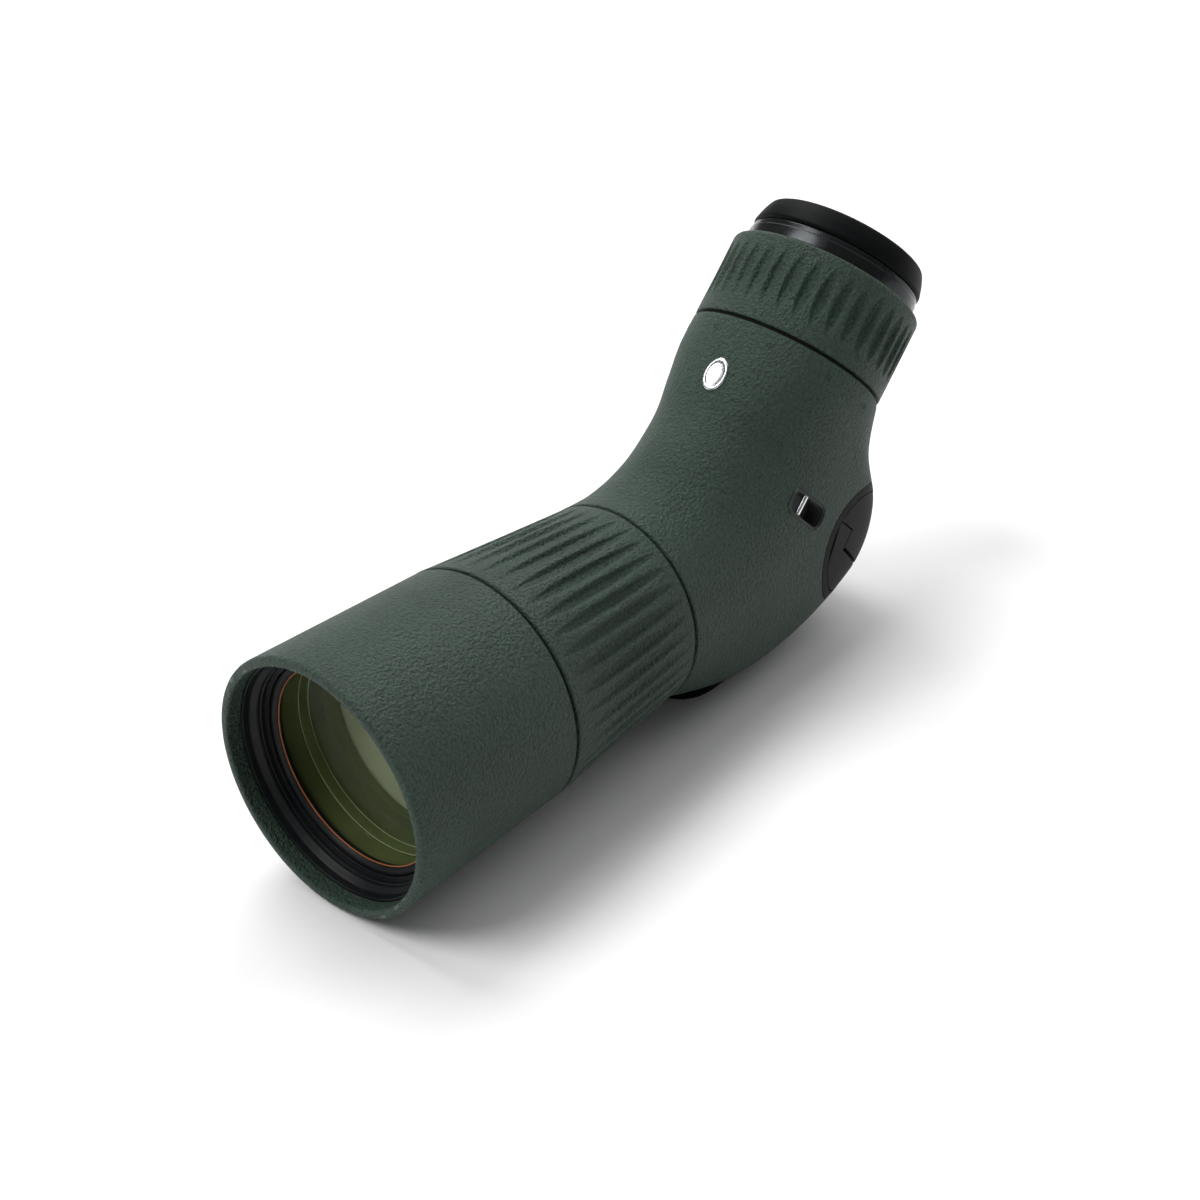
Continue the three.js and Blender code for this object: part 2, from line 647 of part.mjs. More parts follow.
function addStrapLug(side, sideName) {
  const wall = POCKET_WALL;
  const skin = bodyForm(0.2);
  const liner = solid(pocketBlock(side, 0, 40)).intersect(skin);
  const hollowOutline = roundedRectangle(
    POCKET_T - POCKET_WIDTH / 2 + wall, POCKET_T + POCKET_WIDTH / 2 - wall,
    POCKET_V - POCKET_LENGTH / 2 + wall, POCKET_V + POCKET_LENGTH / 2 - wall, 1.6,
  );
  const floor = POCKET_FLOOR_X + wall;
  const hollow = side > 0 ? slab(hollowOutline, floor, 40) : slab(hollowOutline, -40, -floor);
  const recess = liner.subtract(solid(fromEyepiece(hollow)));
  place(scope, "strap_recess_" + sideName, geometryOf(recess), "blackRubber");
  const pinHalf = POCKET_WIDTH / 2 - wall - 0.1;
  const pinAt = [side * STRAP_PIN_X, 0, STRAP_PIN_V];
  const pin = bar("y", STRAP_PIN_R, POCKET_T - pinHalf, POCKET_T + pinHalf, pinAt, 12);
  place(eyepiece, "strap_pin_" + sideName, pin, "steel");
}

// ---------------------------------------------------------------- heel port

function portCylinder(radius) {
  return bar("x", radius, 5, 40, [0, PORT_Y, PORT_Z], SMOOTH);
}

// The parting line, as (y, z) from the port's centre: a step, then a finger slot. The cover's edge
// comes first, then the insert's, which lies 0.5 mm below the step and 1.1 mm below the slot's edge.
const COVER_LINE = [[-10.3, 13.0], [-3.7, 6.8], [-7.3, 2.1], [0.9, -6.0], [9.5, -14.4]];
const INSERT_LINE = [[-10.64, 12.64], [-4.37, 6.75], [-8.33, 1.57], [0.12, -6.78], [8.72, -15.18]];

function coverHalf(points) {
  const outline = points.map(([y, z]) => new THREE.Vector2(PORT_Y + y, PORT_Z + z));
  return solid(slab(outline, 0, 45));
}

function addHeelPort() {
  const skin = bodyForm(0);
  const seat = bodyForm(3, 4, COARSE);
  const dish = solid(portCylinder(PORT_R)).intersect(bodyForm(3 + GAP, 0, COARSE));
  const well = dish.subtract(bodyForm(5.5, 4, COARSE));
  place(scope, "port_well", geometryOf(well), "blackMetal");
  const shell = (outerR) => solid(portCylinder(outerR)).intersect(skin).subtract(seat);
  const bezel = shell(PORT_R).subtract(solid(portCylinder(PORT_COVER_R + GAP)));
  place(scope, "port_bezel", geometryOf(bezel), "blackRubber");
  const cover = shell(PORT_COVER_R);
  const far = 30;
  const upper = [...COVER_LINE, [far, -far], [far, far], [-far, far]];
  const lower = [...INSERT_LINE, [-far, -far]];
  const upperHalf = cover.intersect(coverHalf(upper));
  place(scope, "port_cover", geometryOf(upperHalf), "blackRubber");
  const lowerHalf = cover.intersect(coverHalf(lower));
  place(scope, "port_cover_insert", geometryOf(lowerHalf), "blackRubber");
}

// ---------------------------------------------------------------- foot

const FOOT_SCREWS_Y = [FOOT_START_Y + 6, FOOT_END_Y - 6];

// An upright round cut through the foot and the wall above it.
function footHole(radius, y, top = -20, facets = PLAIN) {
  return solid(bar("z", radius + GAP, FOOT_Z - 10, top, [0, y, 0], facets));
}

function footHoles() {
  const forBushes = Object.values(BUSHES).map(({ y, radius }) => footHole(radius, y));
  const forScrews = FOOT_SCREWS_Y.map((y) => footHole(FOOT_SCREW_R, y, -20, 12));
  return [...forBushes, ...forScrews];
}

function addFoot() {
  const outline = new THREE.Shape();
  const noseR = 13;
  const heelR = 6;
  const w = FOOT_HALF_WIDTH;
  outline.absarc(w - noseR, FOOT_START_Y + noseR, noseR, -Math.PI / 2, 0);
  outline.absarc(w - heelR, FOOT_END_Y - heelR, heelR, 0, Math.PI / 2);
  outline.absarc(heelR - w, FOOT_END_Y - heelR, heelR, Math.PI / 2, Math.PI);
  outline.absarc(noseR - w, FOOT_START_Y + noseR, noseR, Math.PI, Math.PI * 1.5);
  const block = new THREE.ExtrudeGeometry(outline, {
    depth: 10,
    bevelSize: 1,
    bevelThickness: 1,
    bevelOffset: -1,
    bevelSegments: 1,
    curveSegments: 6,
  });
  block.translate(0, 0, FOOT_Z + 1);
  let foot = solid(block).subtract(bodyForm(-GAP, 4));
  for (const hole of footHoles()) foot = foot.subtract(hole);
  FOOT_SCREWS_Y.forEach((y, i) => {
    const headTop = FOOT_Z + FOOT_RECESS + 1.5;
    foot = foot.subtract(footHole(FOOT_SCREW_HEAD_R, y, headTop, 12));
    place(scope, "foot_screw_" + (i + 1), footScrew(y), "steel");
  });
  place(scope, "tripod_foot", geometryOf(foot), "blackRubber");
  for (const [size, { y, radius, threadR }] of Object.entries(BUSHES)) {
    const bush = ring(threadR, radius, 0, BUSH_LENGTH).rotateX(Math.PI / 2);
    place(scope, "tripod_bush_" + size, bush.translate(0, y, FOOT_Z + FOOT_RECESS), "steel");
  }
}

// A countersunk screw, head down, with a hexagonal drive socket.
function footScrew(y) {
  const outline = [
    [0, 0],
    [FOOT_SCREW_HEAD_R, 0],
    [FOOT_SCREW_HEAD_R, 1.2],
    [FOOT_SCREW_R, 1.5],
    [FOOT_SCREW_R, 9],
    [0, 9],
  ].map(([r, h]) => new THREE.Vector2(r, h));
  const screw = solid(new THREE.LatheGeometry(outline, 12));
  const socket = solid(new THREE.CylinderGeometry(1.2, 1.2, 2, 6));
  const cut = geometryOf(screw.subtract(socket));
  return cut.rotateX(Math.PI / 2).translate(0, y, FOOT_Z + FOOT_RECESS);
}

// ---------------------------------------------------------------- badge

// An oval plate on the eyepiece neck's front ridge, grown by grow, from v0 outwards.
function badgePlate(grow, v0, height) {
  const oval = new THREE.Shape();
  oval.absellipse(0, 0, BADGE_HALF[0] + grow, BADGE_HALF[1] + grow, 0, Math.PI * 2);
  const plate = new THREE.ExtrudeGeometry(oval, {
    depth: height,
    bevelEnabled: false,
    curveSegments: 12,
  });
  return fromEyepiece(plate.translate(0, BADGE_T, v0));
}

function addBadge() {
  place(scope, "badge", badgePlate(0, EYEPIECE_R - 0.6, 1.0), "steel");
}

// ---------------------------------------------------------------- assembly

addFrontArmour();
addBarrelTube();
addObjective();
addFocusRing();
addFocusingLens();
addBody();
addLockRings();
addPrism();
addPrismCradle();
addEyepieceTube();
addZoomRing();
addZoomCell("zoom_front", 60, [0.8, -0.6]);
addZoomCell("zoom_rear", 72, [-0.6, 0.9]);
addEyeLens();
addEyecup();
addStrapLug(1, "right");
addStrapLug(-1, "left");
addHeelPort();
addFoot();
addBadge();

// Stand the scope on Z = 0 with its box centred on the origin in X and Y.
scope.updateMatrixWorld(true);
const box = new THREE.Box3().setFromObject(scope, true);
const centre = box.getCenter(new THREE.Vector3());
scope.position.set(-centre.x, -centre.y, -box.min.z);

export default scope;
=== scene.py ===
"""Looks for an angled zoom spotting scope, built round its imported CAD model.

Shapes are drawn in millimetres in two local frames. In both, y runs along the optical axis:
BARREL starts at the objective rim, and EYEPIECE starts where the two axes meet and is turned up
by 45 degrees. Each piece is placed into the row frame, in metres, when its mesh is made.
"""

import json
import math

import bmesh
import bpy
from mathutils import Matrix, Vector
from mathutils.bvhtree import BVHTree


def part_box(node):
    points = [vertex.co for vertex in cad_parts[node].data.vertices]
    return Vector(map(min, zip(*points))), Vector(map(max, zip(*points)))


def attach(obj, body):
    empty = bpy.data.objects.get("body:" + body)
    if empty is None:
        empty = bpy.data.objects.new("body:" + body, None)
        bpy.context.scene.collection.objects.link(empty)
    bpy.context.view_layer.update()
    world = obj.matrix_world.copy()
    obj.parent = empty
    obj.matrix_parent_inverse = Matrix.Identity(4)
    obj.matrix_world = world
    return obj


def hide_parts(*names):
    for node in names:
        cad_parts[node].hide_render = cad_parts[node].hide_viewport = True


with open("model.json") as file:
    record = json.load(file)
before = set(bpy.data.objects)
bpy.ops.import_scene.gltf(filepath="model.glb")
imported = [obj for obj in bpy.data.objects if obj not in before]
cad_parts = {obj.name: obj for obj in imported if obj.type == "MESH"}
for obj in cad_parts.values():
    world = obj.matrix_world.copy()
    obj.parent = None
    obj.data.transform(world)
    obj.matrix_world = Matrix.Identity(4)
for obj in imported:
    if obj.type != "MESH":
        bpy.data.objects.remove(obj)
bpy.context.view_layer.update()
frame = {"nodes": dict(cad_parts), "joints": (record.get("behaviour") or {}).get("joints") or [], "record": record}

# ---------------------------------------------------------------- frames and driving sizes (mm)

MM = 0.001
RIM_FRONT_Y = -1.2
BEND = math.radians(45)

rim_low, rim_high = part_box("front_armour")
START = Vector((0, rim_low.y - RIM_FRONT_Y * MM, (rim_low.z + rim_high.z) / 2))
PIVOT = Vector(next(j for j in frame["joints"] if j["name"] == "zoom_turn")["pos_m"])
BARREL = Matrix.Translation(START) @ Matrix.Scale(MM, 4)
EYEPIECE = Matrix.Translation(PIVOT) @ Matrix.Rotation(BEND, 4, "X") @ Matrix.Scale(MM, 4)
BEND_Y = (PIVOT.y - START.y) / MM

GAP = 0.3  # clearance between neighbouring pieces
SEAM = 1.0  # width of the dark grooves between the rubber sleeves
RIM_R = 36.4
RIM_BORE_R = 33.6
FRONT_END_Y = 56.0
FRONT_END_R = 34.6
FOCUS_START_Y = FRONT_END_Y + SEAM
FOCUS_END_Y = 110.0
FOCUS_END_R = 30.0
NECK_R = 23.6
NECK_END_Y = 118.5
NECK_BORE_R = 21.8
BODY_START_Y = FOCUS_END_Y + SEAM

LENS_R = 29.8
CLEAR_R = 28.0

BODY_END_T = 65.0
NECK_TOP_R = 29.8
ZOOM_START_T = BODY_END_T + SEAM
ZOOM_END_T = 92.0
ZOOM_BORE_R = 27.6
EYE_TUBE_R = 23.6
COLLAR_R = 26.9
COLLAR_END_T = 97.4
CUP_END_T = 105.3
CUP_END_R = 24.8
EYECUP_BOTTOM_T = 83.0

RUBBER = 1.6  # thickness of the body armour
PORT_Y = 191.7
PORT_Z = -7.1
PORT_R = 19.1
PORT_COVER_R = 16.1
PORT_WALL = 3.0  # thickness of the bezel and the cover
PORT_WELL_DEPTH = 5.5
HEEL_R = 22.4

FOOT_Z = -37.4
FOOT_START_Y = 125.0
FOOT_END_Y = 176.0
FOOT_HALF_WIDTH = 15.0
FOOT_RECESS = 0.4
BUSHES = {  # y, outer radius, thread's minor radius, thread pitch
    "large": (156.5, 8.0, 4.3, 1.5875),
    "small": (140.5, 5.0, 2.75, 1.27),
}
SCREWS_Y = (FOOT_START_Y + 6, FOOT_END_Y - 6)
SCREW_HEAD_R = 2.8

POCKET_T = 27.2
POCKET_V = -3.7
POCKET_LENGTH = 17.0
POCKET_WIDTH = 7.2
POCKET_FLOOR_X = 22.0
POCKET_CORNER = 3.1
POCKET_CUT_X = 40.0  # well outside the flank
STRAP_PIN_R = 0.8
STRAP_PIN_X = 26.4
STRAP_PIN_V = -0.55

BADGE_T = 47.5
BADGE_HALF = (3.6, 5.0)

FOCUS_FLUTES = {"count": 40, "crest": 4.2, "from": 0.05, "to": 0.96}
ZOOM_FLUTES = {"count": 36, "crest": 0.5, "from": 0.18, "to": 0.86}
FLUTE_DEPTH = 1.25
FLUTE_WIDTH = 0.88  # at the middle of a flute, as a share of the pitch
FLUTE_WALL = 0.6  # the part of each half of that width that is wall, and not floor
FLUTE_COLUMNS = 20  # mesh columns across one flute
FLUTE_ROWS = 60  # mesh rows along a ring

ROUND = 160  # facets round a turned piece
SHARP = 32.0  # degrees, above which an edge is left sharp


# ---------------------------------------------------------------- mesh helpers


def finish_mesh(bm, name, place, sharp=SHARP):
    """Turns a bmesh drawn in a local frame into an object in the row frame, with clean outward faces."""
    bmesh.ops.remove_doubles(bm, verts=bm.verts, dist=1e-5)
    bmesh.ops.dissolve_degenerate(bm, edges=bm.edges, dist=1e-5)
    bmesh.ops.recalc_face_normals(bm, faces=bm.faces)
    bm.transform(place)
    mesh = bpy.data.meshes.new(name)
    bm.to_mesh(mesh)
    bm.free()
    smooth(mesh, sharp)
    piece = bpy.data.objects.new(name, mesh)
    bpy.context.scene.collection.objects.link(piece)
    return piece


def smooth(mesh, sharp):
    mesh.shade_smooth()
    mesh.set_sharp_from_angle(angle=math.radians(sharp))


def lattice(rows, wrap_rows=True, cap=False):
    """A bmesh over rows of points, each row a closed loop. The rows close on themselves, or get end caps."""
    bm = bmesh.new()
    grid = [[bm.verts.new(p) for p in row] for row in rows]
    columns = len(rows[0])
    for i in range(len(rows) if wrap_rows else len(rows) - 1):
        here, there = grid[i], grid[(i + 1) % len(rows)]
        for j in range(columns):
            k = (j + 1) % columns
            bm.faces.new((here[j], here[k], there[k], there[j]))
    if cap:
        bm.faces.new(grid[0])
        bm.faces.new(list(reversed(grid[-1])))
    return bm


def rounded(corners, steps=4):
    """The outline through (u, v, setback) corners, each rounded from that distance before it to after it."""
    outline = []
    for i, (u, v, setback) in enumerate(corners):
        here = Vector((u, v))
        if setback == 0:
            outline.append(here)
            continue
        before = Vector(corners[i - 1][:2]) - here
        after = Vector(corners[(i + 1) % len(corners)][:2]) - here
        start = here + before.normalized() * min(setback, 0.48 * before.length)
        end = here + after.normalized() * min(setback, 0.48 * after.length)
        for step in range(steps + 1):
            k = step / steps
            outline.append(start * (1 - k) ** 2 + here * 2 * k * (1 - k) + end * k * k)
    return outline


def around(radius, y, columns=ROUND):
    turn = 2 * math.pi / columns
    return [(radius * math.sin(turn * j), y, radius * math.cos(turn * j)) for j in range(columns)]


def turned(name, place, corners, columns=ROUND, steps=4):
    """A closed outline of (radius, y, setback) corners turned about the local y axis."""
    rows = [around(p.x, p.y, columns) for p in rounded(corners, steps)]
    return finish_mesh(lattice(rows), name, place)


def ring_outline(inner, outer, y0, y1, edge=0.2):
    return [(inner, y0, edge), (outer, y0, edge), (outer, y1, edge), (inner, y1, edge)]


def disc(u, v, radius, columns):
    """The outline of a circle round (u, v)."""
    turns = [2 * math.pi * i / columns for i in range(columns)]
    return [(u + radius * math.cos(turn), v + radius * math.sin(turn)) for turn in turns]


def extruded(outline, z0, z1):
    """A bmesh prism over a closed outline of (u, v) points, from z0 to z1."""
    rows = [[(p[0], p[1], z) for p in outline] for z in (z0, z1)]
    return lattice(rows, wrap_rows=False, cap=True)


SIDEWAYS = Matrix(((0, 0, 1, 0), (1, 0, 0, 0), (0, 1, 0, 0), (0, 0, 0, 1)))  # (u, v, w) to (y, z, x)


def boolean(piece, operation, tools):
    """Cuts or clips piece with each tool, and removes the tools."""
    for tool in tools:
        modifier = piece.modifiers.new(operation.lower(), "BOOLEAN")
        modifier.operation = operation
        modifier.solver = "EXACT"
        modifier.object = tool
    graph = bpy.context.evaluated_depsgraph_get()
    mesh = bpy.data.meshes.new_from_object(piece.evaluated_get(graph))
    mesh.name = piece.name
    piece.modifiers.clear()
    piece.data = mesh
    smooth(mesh, SHARP)
    for tool in tools:
        bpy.data.objects.remove(tool)
    return piece


def joined(name, pieces):
    """One object holding the meshes of several, which go away."""
    bm = bmesh.new()
    for piece in pieces:
        bm.from_mesh(piece.data)
        bpy.data.objects.remove(piece)
    mesh = bpy.data.meshes.new(name)
    bm.to_mesh(mesh)
    bm.free()
    result = bpy.data.objects.new(name, mesh)
    bpy.context.scene.collection.objects.link(result)
    return result


def settle(piece, body, material, slot, *nodes):
    """Gives a piece its material and the body it moves with, and hides the CAD nodes that it stands for."""
    piece.data.materials.clear()
    piece.data.materials.append(material)
    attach(piece, body)
    if nodes:
        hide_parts(*nodes)
    return piece


# ---------------------------------------------------------------- body form


def line_across(t, v):
    return (BEND_Y + (t - v) * math.cos(BEND), (t + v) * math.sin(BEND))


def heel_at(degrees):
    angle = math.radians(degrees)
    return (PORT_Y + HEEL_R * math.cos(angle), PORT_Z + HEEL_R * math.sin(angle))


# Each station: the upper and lower profile points (y, z), half the width, and how boxy the upper and
# lower halves are, where 2 is an ellipse.
STATIONS = [
    ((BODY_START_Y, FOCUS_END_R), (BODY_START_Y, -FOCUS_END_R), 30, 2, 2),
    ((115.5, 30.1), (123, -33.5), 30, 2, 2.2),
    ((120.5, 30.8), (141, -36), 29.6, 2, 2.7),
    ((127.5, 33.2), (162, -35.6), 29, 2, 3),
    ((135, 38), (184, -32.4), 28.4, 2, 3.1),
    (line_across(34, 29.2), heel_at(-52), 28, 2.3, 3),
    (line_across(44, 29.3), heel_at(-8), 28.3, 2.5, 2.6),
    (line_across(54.5, 29.6), (208.6, 9), 28.8, 2.4, 2.2),
    (line_across(BODY_END_T, NECK_TOP_R), line_across(BODY_END_T, -NECK_TOP_R), NECK_TOP_R, 2, 2),
]
BODY_ROWS = 88
BODY_COLUMNS = 144


def spline(values, u):
    """A uniform Catmull-Rom curve through values, at a fraction u of its length."""
    place = u * (len(values) - 1)
    i = min(int(place), len(values) - 2)
    k = place - i
    p = [values[max(0, min(len(values) - 1, i + d))] for d in (-1, 0, 1, 2)]
    v0, v1 = (p[2] - p[0]) * 0.5, (p[3] - p[1]) * 0.5
    a = (p[1] - p[2]) * 2 + v0 + v1
    b = (p[2] - p[1]) * 3 - v0 * 2 - v1
    return a * k**3 + b * k**2 + v0 * k + p[1]


def body_section(u, inset=0.0):
    """The closed section a fraction u of the way from the focus ring to the zoom ring."""
    top = spline([Vector(s[0]) for s in STATIONS], u)
    low = spline([Vector(s[1]) for s in STATIONS], u)
    half, crown, keel = (spline([s[i] for s in STATIONS], u) for i in (2, 3, 4))
    middle, up = (top + low) / 2, top - low
    height = up.length / 2 - inset
    up.normalize()
    section = []
    for j in range(BODY_COLUMNS):
        angle = -2 * math.pi * j / BODY_COLUMNS
        across, along = math.cos(angle), math.sin(angle)
        power = 2 / (keel if along < 0 else crown)
        x = (half - inset) * math.copysign(abs(across) ** power, across)
        rise = height * math.copysign(abs(along) ** power, along)
        section.append(Vector((x, middle.x + up.x * rise, middle.y + up.y * rise)))
    return section


AHEAD = Vector((0, -1, 0))
UPWARD = Vector((0, math.cos(BEND), math.sin(BEND)))


def body_solid(name, inset, overrun=0.0):
    """The body's form moved inwards by inset, closed at both ends and run out past them by overrun."""
    sections = [body_section(i / BODY_ROWS, inset) for i in range(BODY_ROWS + 1)]
    if overrun:
        sections.insert(0, [p + AHEAD * overrun for p in sections[0]])
        sections.append([p + UPWARD * overrun for p in sections[-1]])
    return finish_mesh(lattice(sections, wrap_rows=False, cap=True), name, BARREL)


def body_shell(name):
    """The rubber skin: the outer form with softly rolled ends, and the inner form back through it."""
    edge = 0.45
    roll = [math.radians(a) for a in (0, 30, 60, 90)]
    first, last = 0.02, 0.985
    outer = [body_section(first + (last - first) * i / BODY_ROWS) for i in range(BODY_ROWS + 1)]
    start, end = [], []
    for angle in roll:
        inset, shift = edge * (1 - math.sin(angle)), edge * (1 - math.cos(angle))
        start.append([p - AHEAD * shift for p in body_section(0, inset)])
        end.insert(0, [p - UPWARD * shift for p in body_section(1, inset)])
    inner = [body_section(1 - i / 40, RUBBER) for i in range(41)]
    return finish_mesh(lattice(start + outer + end + inner), name, BARREL)


def surface_tree():
    """The body's outer surface, for setting things on it."""
    solid = body_solid("surface", 0.0, 4.0)
    tree = BVHTree.FromPolygons(
        [v.co.copy() for v in solid.data.vertices],
        [tuple(p.vertices) for p in solid.data.polygons],
    )
    bpy.data.objects.remove(solid)
    return tree


SURFACE = surface_tree()


def on_surface(place, start, direction):
    """Where a ray in a local frame meets the body, and the surface's normal there, both in that frame."""
    turn = place.to_3x3()
    origin, along = place @ Vector(start), (turn @ Vector(direction)).normalized()
    hit, normal, _, _ = SURFACE.ray_cast(origin, along)
    if hit is None:
        raise ValueError(f"nothing under {start}")
    back = place.inverted()
    local = (back.to_3x3() @ normal).normalized()
    if local.dot(Vector(direction)) > 0:
        local.negate()
    return back @ hit, local


def flank_x(y, z, side=1):
    """How far out the body's flank is at barrel position (y, z)."""
    return on_surface(BARREL, (60 * side, y, z), (-side, 0, 0))[0].x


# ---------------------------------------------------------------- materials


def srgb(*values):
    """A linear colour from 0 to 255 display values."""
    channels = [v / 255 for v in values]
    linear = [c / 12.92 if c <= 0.04045 else ((c + 0.055) / 1.055) ** 2.4 for c in channels]
    return (*linear, 1.0)


class Look:
    """A node material under construction, around one Principled shader."""

    def __init__(self, name, **shader):
        self.material = bpy.data.materials.new(name)
        self.material.use_nodes = True
        self.nodes = self.material.node_tree.nodes
        self.links = self.material.node_tree.links
        self.shader = next(n for n in self.nodes if n.type == "BSDF_PRINCIPLED")
        for socket, value in shader.items():
            self.shader.inputs[socket.replace("_", " ")].default_value = value
        self.place = self.nodes.new("ShaderNodeTexCoord").outputs["Object"]

    def node(self, kind, **values):
        made = self.nodes.new(kind)
        for key, value in values.items():
            if hasattr(made, key):
                setattr(made, key, value)
            else:
                made.inputs[key.replace("_", " ")].default_value = value
        return made

    def noise(self, size_mm, detail=3.0, roughness=0.55):
        """Noise with features about size_mm across."""
        made = self.node("ShaderNodeTexNoise", Scale=1 / (size_mm * MM), Detail=detail, Roughness=roughness)
        self.links.new(self.place, made.inputs["Vector"])
        return made.outputs["Fac"]

    def spread(self, value, low, high, to_low=0.0, to_high=1.0):
        """Stretches low to high over to_low to to_high, and holds it there."""
        made = self.node("ShaderNodeMapRange", clamp=True)
        self.links.new(value, made.inputs["Value"])
        for name, number in zip(("From Min", "From Max", "To Min", "To Max"), (low, high, to_low, to_high)):
            made.inputs[name].default_value = number
        return made.outputs["Result"]

    def mixed(self, factor, first, second):
        """Blends two colours, each a tuple or another node's output."""
        made = self.node("ShaderNodeMix", data_type="RGBA")
        self.links.new(factor, made.inputs["Factor"])
        for socket, colour in zip((made.inputs["A"], made.inputs["B"]), (first, second)):
            colours = [s for s in made.inputs if s.name == socket.name and s.type == "RGBA"]
            if isinstance(colour, tuple):
                colours[0].default_value = colour
            else:
                self.links.new(colour, colours[0])
        return next(s for s in made.outputs if s.type == "RGBA")

    def worn_and_highlit_edges(self, colour, edge_wear_and_highlight, low, high):
        """Shows the given edge colour on the piece's sharp outward edges: partly wear, partly a painted highlight
        where the edges catch the light.
        """
        edges = self.node("ShaderNodeNewGeometry").outputs["Pointiness"]
        return self.mixed(self.spread(edges, low, high), colour, edge_wear_and_highlight)

    def colour(self, value):
        self.links.new(value, self.shader.inputs["Base Color"])

    def rough(self, value):
        self.links.new(value, self.shader.inputs["Roughness"])

    def bumps(self, *layers):
        """Stacks (height, strength, distance in mm) bump layers onto the shader."""
        below = None
        for height, strength, distance in layers:
            made = self.node("ShaderNodeBump", Strength=strength, Distance=distance * MM)
            self.links.new(height, made.inputs["Height"])
            if below:
                self.links.new(below, made.inputs["Normal"])
            below = made.outputs["Normal"]
        self.links.new(below, self.shader.inputs["Normal"])


def armour_look(name, light, dark, grain=1.0):
    """Grey-green moulded rubber with a leathery grain, with painted shade in the grain's hollows and paler edges
    that are partly wear and partly a painted highlight.
    """
    look = Look(name, Roughness=0.55, Specular_IOR_Level=0.3)
    blotches = look.spread(look.noise(30, 2), 0.35, 0.65)
    pebbles = look.noise(0.85, 2.5, 0.6)
    speckle = look.noise(0.35, 2)
    base = look.mixed(blotches, dark, light)
    # The grain's hollows are darkened to 0.6 of the dark tone: painted shade where the bumps dip.
    grain_with_painted_shade = look.mixed(look.spread(pebbles, 0.3, 0.6), tuple(c * 0.6 for c in dark[:3]) + (1.0,), base)
    # Paler sharp edges: partly wear, partly a painted highlight.
    look.colour(look.worn_and_highlit_edges(grain_with_painted_shade, srgb(88, 102, 93), 0.58, 0.72))
    look.rough(look.spread(speckle, 0.3, 0.7, 0.46, 0.6))
    look.bumps((pebbles, 1.0 * grain, 1.2), (speckle, 0.8 * grain, 0.2))
    return look.material


def soft_black(name, light, dark, size=0.35, roughness=0.5, gloss=0.22):
    """Matt black rubber with a faint grain, and paler edges that are partly wear and partly a painted highlight.
    """
    look = Look(name, Roughness=roughness, Specular_IOR_Level=gloss)
    grain = look.noise(size, 3)
    base = look.mixed(look.spread(look.noise(9, 4), 0.3, 0.7), dark, light)
    # Paler sharp edges: partly wear, partly a painted highlight.
    look.colour(look.worn_and_highlit_edges(base, srgb(58, 60, 60), 0.6, 0.75))
    look.rough(look.spread(grain, 0.3, 0.7, roughness - 0.06, roughness + 0.08))
    look.bumps((grain, 0.22, 0.05))
    return look.material


def anodised(name, light, dark, roughness=0.3, metallic=0.75, gloss=0.5):
    """Satin anodised metal with faint turning marks and smudges."""
    look = Look(name, Metallic=metallic, Roughness=roughness, Specular_IOR_Level=gloss)
    smudge = look.spread(look.noise(7, 5), 0.35, 0.7)
    look.colour(look.mixed(smudge, dark, light))
    look.rough(look.spread(look.noise(3, 4), 0.3, 0.7, roughness - 0.05, roughness + 0.08))
    look.bumps((look.noise(0.12, 2), 0.12, 0.02))
    return look.material


def bright_steel(name, colour, roughness=0.14):
    """Polished steel with hairline scratches and faint stains."""
    look = Look(name, Metallic=1.0, Roughness=roughness)
    stain = look.spread(look.noise(4, 5), 0.3, 0.75)
    look.colour(look.mixed(stain, colour, tuple(c * 0.82 for c in colour[:3]) + (1.0,)))
    look.rough(look.spread(look.noise(0.5, 4), 0.3, 0.7, roughness - 0.05, roughness + 0.1))
    look.bumps((look.noise(0.08, 2), 0.1, 0.01))
    return look.material


def coated_glass(name, tint, alpha, roughness=0.04):
    """Glass with a coloured coating, which veils what is behind it."""
    look = Look(name, Roughness=roughness, Alpha=alpha, Specular_IOR_Level=0.6)
    haze = look.spread(look.noise(16, 3), 0.3, 0.7)
    look.colour(look.mixed(haze, tint, tuple(min(1.0, c * 1.3) for c in tint[:3]) + (1.0,)))
    return look.material


ARMOUR = armour_look("armour_rubber", srgb(50, 70, 59), srgb(45, 64, 53))
# A darker copy of the armour rubber: painted shade, for a lip that faces away from the light.
LIP_RUBBER_PAINTED_SHADE = armour_look("lip_rubber_painted_shade", srgb(32, 43, 37), srgb(28, 38, 32), grain=0.3)
PRINT = soft_black("printed_mark", srgb(14, 18, 16), srgb(11, 15, 13))
BLACK_RUBBER = soft_black("black_rubber", srgb(9, 11, 12), srgb(7, 9, 10), gloss=0.06)
STRAP_WELL = soft_black("strap_well_rubber", srgb(58, 60, 60), srgb(50, 52, 52))
PORT_PLASTIC = soft_black("port_cover_plastic", srgb(34, 34, 33), srgb(29, 29, 28), 0.25, 0.6, 0.1)
PORT_RIM = soft_black("port_bezel_plastic", srgb(24, 24, 24), srgb(20, 20, 20), 0.3, 0.6, 0.1)
SEAM_BLACK = soft_black("seal_rubber", srgb(10, 12, 11), srgb(8, 10, 9), 0.4, 0.8)
BLACK_METAL = anodised("black_anodised", srgb(52, 54, 55), srgb(42, 44, 45), 0.24, 0.85)
HOOD_BLACK = anodised("hood_black", srgb(17, 19, 21), srgb(13, 15, 17), 0.45, 0.0, 0.2)
BAFFLE_BLACK = soft_black("baffle_black", srgb(24, 27, 20), srgb(20, 23, 16), 0.3, 0.6)
CELL_OLIVE = soft_black("lens_cell_olive", srgb(84, 94, 54), srgb(74, 84, 46), 0.6, 0.5)
